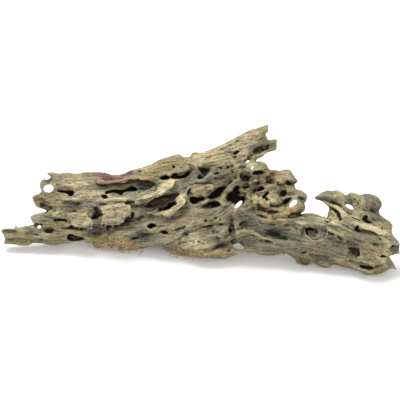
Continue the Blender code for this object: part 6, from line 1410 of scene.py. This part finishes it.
# %% Store them on the mesh
def store(name, kind, values):
    """Puts one array of values per vertex into the log's mesh."""
    slot = {"FLOAT": "value", "FLOAT_VECTOR": "vector", "FLOAT_COLOR": "color"}[kind]
    layer = log.data.attributes.new(name, kind, "POINT")
    layer.data.foreach_set(slot, np.ascontiguousarray(values, dtype=np.float32).ravel())


store("grain", "FLOAT_VECTOR", np.stack([along_g, across_g, out_g], axis=1))
store("tint", "FLOAT_COLOR", np.column_stack([tint, np.ones(len(tint))]))
for name, values in (("enclosed_near", enclosed_near), ("enclosed_far", enclosed_far), ("sunk", sunk),
                     ("tint_cover", covered)):
    store(name, "FLOAT", values)
print("stored:", ", ".join(layer.name for layer in log.data.attributes))

# %% [markdown]
# ## Writing shaders as sums
#
# A shader is a formula, and it is easier to read as one. The class below wraps a socket, so
# that `a * 0.5 + b` adds the Math nodes. Colours go through Mix nodes.

# %% Sockets with operators
class Value:
    """A socket of a node tree, with the operators that the materials use."""

    def __init__(self, tree, socket):
        self.tree = tree
        self.socket = socket

    def node(self, kind, settings=None, inputs=None, output=0):
        """Any node: its type, its settings first, then the values or links of its sockets."""
        made = self.tree.nodes.new(kind)
        for key, setting in (settings or {}).items():
            setattr(made, key, setting)
        for key, value in (inputs or {}).items():
            if isinstance(value, Value):
                self.tree.links.new(value.socket, made.inputs[key])
            else:
                made.inputs[key].default_value = value
        return Value(self.tree, made.outputs[output])

    def maths(self, operation, *values):
        """A Math node with these operands."""
        return self.node("ShaderNodeMath", {"operation": operation}, dict(enumerate(values)))

    def __add__(self, other):
        return self.maths("ADD", self, other)

    def __sub__(self, other):
        return self.maths("SUBTRACT", self, other)

    def __mul__(self, other):
        return self.maths("MULTIPLY", self, other)

    def __rsub__(self, other):
        return self.maths("SUBTRACT", other, self)

    __radd__ = __add__
    __rmul__ = __mul__

    def ramp(self, low, high, start=0.0, end=1.0):
        """0 below low, 1 above high, with a smooth S between, then spread from start to end."""
        settings = {"interpolation_type": "SMOOTHSTEP"}
        inputs = {"Value": self, "From Min": low, "From Max": high, "To Min": start, "To Max": end}
        return self.node("ShaderNodeMapRange", settings, inputs)

    def mix(self, one, other):
        """The colour `one` where this value is 0 and `other` where it is 1."""
        one, other = [c if isinstance(c, Value) else (*c, 1) for c in (one, other)]
        return self.node("ShaderNodeMix", {"data_type": "RGBA"}, {0: self, 6: one, 7: other}, 2)

    def tinted(self, other):
        """This colour times another one."""
        settings = {"data_type": "RGBA", "blend_type": "MULTIPLY"}
        return self.node("ShaderNodeMix", settings, {0: 1.0, 6: self, 7: other}, 2)

    def scaled(self, x, y, z, shift=0.0):
        """A vector, each direction times its own number."""
        inputs = {0: self, 1: (x, y, z), 2: (shift, shift * 1.7, shift * 2.3)}
        return self.node("ShaderNodeVectorMath", {"operation": "MULTIPLY_ADD"}, inputs)

    def noise(self, detail, rough=0.55):
        """Noise read at this vector, between 0 and 1."""
        inputs = {"Vector": self, "Scale": 1.0, "Detail": detail, "Roughness": rough}
        return self.node("ShaderNodeTexNoise", {}, inputs)


def new_material(name):
    """A material with its Principled shader, and a value to start formulas from."""
    material = bpy.data.materials.new(name)
    material.use_nodes = True
    tree = material.node_tree
    shader = tree.nodes["Principled BSDF"]
    return material, shader, Value(tree, None)


def plain_material(name, colour, rough):
    """A material of one colour."""
    material, surface, _ = new_material(name)
    surface.inputs["Base Color"].default_value = (*colour, 1)
    surface.inputs["Roughness"].default_value = rough
    return material


def attribute(start, name, output):
    """A stored value of the mesh: 0 colour, 1 vector, 2 number."""
    return start.node("ShaderNodeAttribute", {"attribute_name": name}, {}, output)


# %% [markdown]
# ## Weathered wood
#
# Bare wood in sun and rain goes silver grey where it is open and stays tan where it rubs.
# Here its creases, hollows and pits are darkened with painted shade, and its crests get a
# painted highlight along with their bleaching. Its colour is streaked along the grain at every
# scale. Fine streaks also carry the finest relief, as a bump. One sum adds it all up: below 0
# where the streaks are dull or painted shade falls, 0.5 where the wood shows its own colour,
# above 1 where it is bleached or carries the painted highlight.

# %% The wood's material
wood, shader, start = new_material("weathered_wood")
grain = attribute(start, "grain", 1)
near = attribute(start, "enclosed_near", 2)
far = attribute(start, "enclosed_far", 2)
sunk = attribute(start, "sunk", 2)

broad = grain.scaled(1 / 50, 1 / 9, 1 / 9).noise(2)
streak = grain.scaled(1 / 26, 1 / 2.1, 1 / 2.1, 7).noise(3, 0.65)
fibre = grain.scaled(1 / 14, 1 / 0.9, 1 / 0.9, 3).noise(3, 0.6)
blotch = grain.scaled(1 / 16, 1 / 8, 1 / 8, 11).noise(4, 0.6)
crumb = grain.scaled(1 / 2.4, 1 / 1.4, 1 / 1.4, 29).noise(3, 0.6)

# Painted light from how enclosed each place is: crest lightens convex ridges, part bleaching and
# part painted highlight; crease and hollow darken creases and hollows as painted shade.
crest = near.ramp(0.48, 0.32)
crease = near.ramp(0.52, 0.66)
hollow = far.ramp(0.52, 0.70)

BACK_TAN, BACK_GREY, BACK_BROWN = (0.36, 0.31, 0.185), (0.22, 0.21, 0.15), (0.15, 0.105, 0.06)
# The dull end also carries the painted shade, and the bleached end the painted highlight.
DULL_AND_SHADED, FRESH, BLEACHED_AND_LIT = (0.20, 0.18, 0.155), (0.98, 0.97, 0.95), (1.6, 1.58, 1.53)
WARM, COOL = (1.05, 1.0, 0.93), (0.96, 1.0, 1.05)
# The second of these colours is painted shade for deep pits; the first darkens the thin splits.
SPLIT_DIRT, PIT_SHADE = (0.04, 0.031, 0.021), (0.028, 0.021, 0.014)

back_tint = broad.ramp(0.35, 0.65).mix(BACK_TAN, BACK_GREY)
back_tint = blotch.ramp(0.5, 0.72).mix(back_tint, BACK_BROWN)
local = attribute(start, "tint_cover", 2).mix(back_tint, attribute(start, "tint", 0))

wear_and_painted_light = 0.52 + 0.75 * crest - 0.7 * crease - 0.45 * hollow + 1.9 * (streak - 0.5) + 2.3 * (fibre - 0.5)
wear_and_painted_light = wear_and_painted_light + 0.6 * (broad - 0.5) + 2.0 * (crumb - 0.5)
shade = wear_and_painted_light.ramp(0.5, 1.2).mix(wear_and_painted_light.ramp(-0.2, 0.5).mix(DULL_AND_SHADED, FRESH), BLEACHED_AND_LIT)
drift = grain.scaled(1 / 16, 1 / 5, 1 / 5, 41).noise(4, 0.65)
colour = local.tinted(shade).tinted(drift.ramp(0.36, 0.64).mix(WARM, COOL))

split = grain.scaled(1 / 34, 1 / 1.7, 1 / 1.7, 19).noise(2, 0.5).ramp(0.37, 0.31)
colour = (split * 0.6).mix(colour, SPLIT_DIRT)
# Painted shade: deep below the bare face, in pits and caves, the colour goes towards near black.
depth = (sunk + 5 * (blotch - 0.5)).ramp(9, 18)
colour = (depth * 0.8).mix(colour, PIT_SHADE)

height = 0.7 * streak + 0.45 * fibre + 0.4 * crumb - 0.4 * split
bump = height.node("ShaderNodeBump", {}, {"Strength": 1.0, "Distance": 0.003, "Height": height})
rough = broad.ramp(0.3, 0.7, 0.78, 0.95)
for name, result in (("Base Color", colour), ("Roughness", rough), ("Normal", bump)):
    wood.node_tree.links.new(result.socket, shader.inputs[name])
shader.inputs["Specular IOR Level"].default_value = 0.25

log.data.materials.append(wood)
print("wood shader nodes:", len(wood.node_tree.nodes))

# %% [markdown]
# ## Rootlets, frays, splinters and a thread
#
# Dead rootlets hang from the lower edge in a fringe, pale fibres fray from three lips, a few
# splinters stand off the edges, and a thread lies in a loop on the log. Each is a thin tube
# carried along a path; all tubes of a kind are computed at once as one array.

# %% Tubes along paths
def tubes(paths, radii, sides=5):
    """Points at path + radius * (cos, sin) in the plane square to the path, the quads between
    them, and the numbers of the points. Paths is an array (tube, step, 3), radii (tube, step)."""
    ahead = np.gradient(paths, axis=1)
    ahead /= np.linalg.norm(ahead, axis=2, keepdims=True) + 1e-12
    side = np.cross(ahead, (0.31, -0.87, 0.38))
    side /= np.linalg.norm(side, axis=2, keepdims=True) + 1e-12
    other = np.cross(ahead, side)
    turn = np.linspace(0, 2 * np.pi, sides, endpoint=False)
    ring = np.cos(turn)[:, None] * side[:, :, None, :] + np.sin(turn)[:, None] * other[:, :, None, :]
    skin = paths[:, :, None, :] + radii[:, :, None, None] * ring
    count, steps = paths.shape[:2]
    number = np.arange(count * steps * sides).reshape(count, steps, sides)
    a, b = number[:, :-1], number[:, 1:]
    walls = np.stack([a, b, np.roll(b, -1, 2), np.roll(a, -1, 2)], axis=-1).reshape(-1, 4)
    return skin.reshape(-1, 3), walls, number


def close_ends(number, walls):
    """Adds a quad over each end of a tube. The tubes are so thin that four points of the ring
    are enough."""
    return np.concatenate([walls, number[:, 0, :4], number[:, -1, 3::-1]])


def face_height(across, down):
    """How far out the seen face lies at each place: the outermost grid cell that is wood, or no
    number where there is none. Across and down are arrays of one shape."""
    i = np.clip(np.rint((across - across_line[0]) / GRID_STEP).astype(int), 0, len(across_line) - 1)
    j = np.clip(np.rint((down - down_line[0]) / GRID_STEP).astype(int), 0, len(down_line) - 1)
    wooden = field[i, j] < 0
    face = out_line[len(out_line) - 1 - np.argmax(wooden[..., ::-1], axis=-1)]
    return np.where(wooden.any(-1), face, np.nan)


def laid(paths, gap=0.4, drop=1.5):
    """Paths laid on the seen face, `gap` mm above it. Past the edge of the wood they hang on at
    their last depth, and no step goes in by more than `drop` mm."""
    out = face_height(paths[..., 0], paths[..., 1]) + gap
    out[:, 0] = np.where(np.isnan(out[:, 0]), paths[:, 0, 2], out[:, 0])
    for k in range(1, out.shape[1]):
        before = out[:, k - 1]
        out[:, k] = np.where(np.isnan(out[:, k]), before, np.maximum(out[:, k], before - drop))
    return np.concatenate([paths[..., :2], out[..., None]], -1)


def strands(rng, roots, reach, sway, steps=9):
    """Paths from the roots: root + t * reach, plus a random bend that grows as t squared. Roots
    and reach are arrays of (across, down, out)."""
    t = np.linspace(0, 1, steps)[None, :, None]
    bend = rng.normal(0, 1, roots.shape)[:, None, :] * sway
    return roots[:, None, :] + t * reach[:, None, :] + t * t * bend


def lay_tubes(name, paths, thickness, material):
    """Tubes along the paths, `thickness` mm thick at the root and pointed at the tip. None goes
    below the floor."""
    count, steps = paths.shape[:2]
    taper = np.sqrt(1 - np.linspace(0, 0.98, steps) ** 2)
    radii = np.asarray(thickness).reshape(-1, 1) / 2000 * taper
    places = to_world(paths[..., 0], paths[..., 1], paths[..., 2])
    skin, walls, number = tubes(places, radii)
    skin[:, 2] = np.maximum(skin[:, 2], 0.0002)
    piece = new_piece(name, skin, close_ends(number, walls))
    piece.data.materials.append(material)
    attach(piece, "root")
    print(name, count, "tubes,", len(piece.data.polygons), "faces")


def fibre_material(name, dark, pale):
    """A dry fibre: noise in Object coordinates mixes a dark and a pale tone along the strands."""
    material, surface, start = new_material(name)
    tone = start.node("ShaderNodeTexCoord", {}, {}, 3).scaled(400, 400, 400).noise(2)
    colour = tone.ramp(0.35, 0.65).mix(dark, pale)
    material.node_tree.links.new(colour.socket, surface.inputs["Base Color"])
    surface.inputs["Roughness"].default_value = 0.8
    return material


# %% Grow the rootlets and fray the lips
# A row is (first and last place across, count, down, out, length, lean sideways).
ROOTLET_ROWS = [(100, 122, 100, 241.5, -14, 8.5, 2.5), (118, 136, 80, 243.5, -12, 7.5, 2.5),
                (92, 104, 12, 242, -15, 5, -1.0), (172, 186, 30, 250, -2, 5, -2.5),
                (186, 202, 30, 252, 2, 4.5, -2.5)]
FRAY_ROWS = [(74, 93, 60, 226, -2, 2.4, 0.3), (103, 120, 60, 221, -2, 2.2, 0.2),
             (120, 131, 24, 216, 0, 1.8, 0.6), (158, 176, 30, 211, 0, 1.8, 0.4)]
rng = np.random.default_rng(5)


def fringe(first, last, count, down, out, length, lean):
    """Roots spread over the face above an edge, with reaches that point down and a little
    sideways."""
    across = rng.uniform(first, last, count)
    roots = np.stack([across, down + rng.uniform(-3, 3, count), np.full(count, float(out))], 1)
    reach = np.stack([rng.normal(lean, 1.6, count), rng.uniform(0.5, 1, count) * length,
                      np.zeros(count)], 1)
    return laid(strands(rng, roots, reach, 1.3))


def lay_rows(name, rows, thickest, material):
    """All fringes of a kind as one piece, from 0.5 mm to `thickest` mm thick."""
    paths = np.concatenate([fringe(*row) for row in rows])
    lay_tubes(name, paths, rng.uniform(0.5, thickest, len(paths)), material)


dry_rootlet = fibre_material("dry_rootlet", (0.24, 0.15, 0.07), (0.66, 0.48, 0.26))
pale_fibre = fibre_material("pale_fibre", (0.30, 0.25, 0.15), (0.72, 0.63, 0.43))
lay_rows("rootlets", ROOTLET_ROWS, 1.0, dry_rootlet)
lay_rows("frays", FRAY_ROWS, 0.9, pale_fibre)

# %% Splinters
# Each is a root and a tip, (across, down, out).
tips = np.array([[(145, 247, -9), (139, 256, -4)], [(181, 252, -1), (175, 260, 3)],
                 [(196, 255, 0), (192, 259.5, 4)], [(15.6, 227, -14), (15.4, 223.6, -14)],
                 [(20, 226.8, -15), (17.5, 221.6, -13)], [(24, 226.4, -15), (27, 221, -14)],
                 [(321, 218, 24), (326, 215, 25)]], float)
splinters = strands(rng, tips[:, 0], tips[:, 1] - tips[:, 0], 0.5)
lay_tubes("splinters", splinters, [1.5, 1.5, 1.1, 0.9, 0.6, 0.6, 1.0], dry_rootlet)

# %% The caught thread
# An arc that is laid on the face, with its depth smoothed by a running mean of 13 steps.
LOOP_ACROSS, LOOP_DOWN, LOOP_RADIUS = 315.8, 229.3, 11.6
turn = np.radians(np.linspace(182, -52, 48))
loop = [LOOP_ACROSS + LOOP_RADIUS * np.cos(turn), LOOP_DOWN + LOOP_RADIUS * np.sin(turn), 0 * turn]
thread = laid(np.stack(loop, 1)[None], 0.6)
thread[0, :, 2] = np.convolve(np.pad(thread[0, :, 2], 6, "edge"), np.full(13, 1 / 13), "valid") + 0.4
lay_tubes("thread", thread, [0.6], plain_material("pale_thread", (0.62, 0.58, 0.44), 0.6))

# %% [markdown]
# ## Floor, light and camera
#
# A plain pale floor and one broad light above and behind the log, as a window would give,
# with a weak one in front and soft light from all round. The camera looks down along the
# drawing plane's normal, through a long lens, so the outline shows as it was drawn.

# %% Floor
FLOOR_REACH = 8.0
corners = FLOOR_REACH * np.array([(-1, -1, 0), (1, -1, 0), (1, 1, 0), (-1, 1, 0)])
floor = new_piece("floor", corners, np.array([[0, 1, 2, 3]]), smooth=False)
pale = plain_material("pale_floor", (0.9, 0.9, 0.9), 0.9)
glow = pale.node_tree.nodes["Principled BSDF"]
glow.inputs["Emission Color"].default_value = (1, 1, 1, 1)
glow.inputs["Emission Strength"].default_value = 0.18
floor.data.materials.append(pale)
floor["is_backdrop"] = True

# %% Light
LOG_MIDDLE = Vector((0, 0, 0.05))
world = bpy.data.worlds.new("soft_room")
world.use_nodes = True
sky = world.node_tree.nodes["Background"]
sky.inputs["Color"].default_value = (1, 1, 1, 1)
sky.inputs["Strength"].default_value = 0.6
bpy.context.scene.world = world


def soft_light(name, place, size, power):
    """A square area light that points at the middle of the log."""
    lamp = bpy.data.lights.new(name, "AREA")
    lamp.shape = "SQUARE"
    lamp.size = size
    lamp.energy = power
    holder = bpy.data.objects.new(name, lamp)
    holder.location = place
    holder.rotation_euler = (LOG_MIDDLE - Vector(place)).to_track_quat("-Z", "Y").to_euler()
    bpy.context.scene.collection.objects.link(holder)


soft_light("window", (-0.5, 0.7, 1.9), 1.1, 36)
soft_light("fill", (1.2, -1.6, 1.0), 1.6, 8)

# %% Camera
LENS, SENSOR = 500.0, 36.0
FRAME_ACROSS = 400.0
target = Vector(to_world(FRAME_ACROSS / 2, FRAME_ACROSS / 2, 0.0))
distance = FRAME_ACROSS / 1000 * LENS / SENSOR
view = bpy.data.cameras.new("camera")
view.lens = LENS
view.sensor_width = SENSOR
view.clip_end = 50
camera = bpy.data.objects.new("camera", view)
camera.location = target + distance * Vector((0, -math.cos(LEAN), math.sin(LEAN)))
camera.rotation_euler = (math.pi / 2 - LEAN, 0, 0)
bpy.context.scene.collection.objects.link(camera)
bpy.context.scene.camera = camera
bpy.context.scene.view_settings.view_transform = "Standard"
print("camera distance, m:", round(distance, 2))

# %% Finish
low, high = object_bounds()
print("visual box, mm:", [round(1000 * n, 1) for n in high - low], "in", round(time.time() - started, 1), "s")
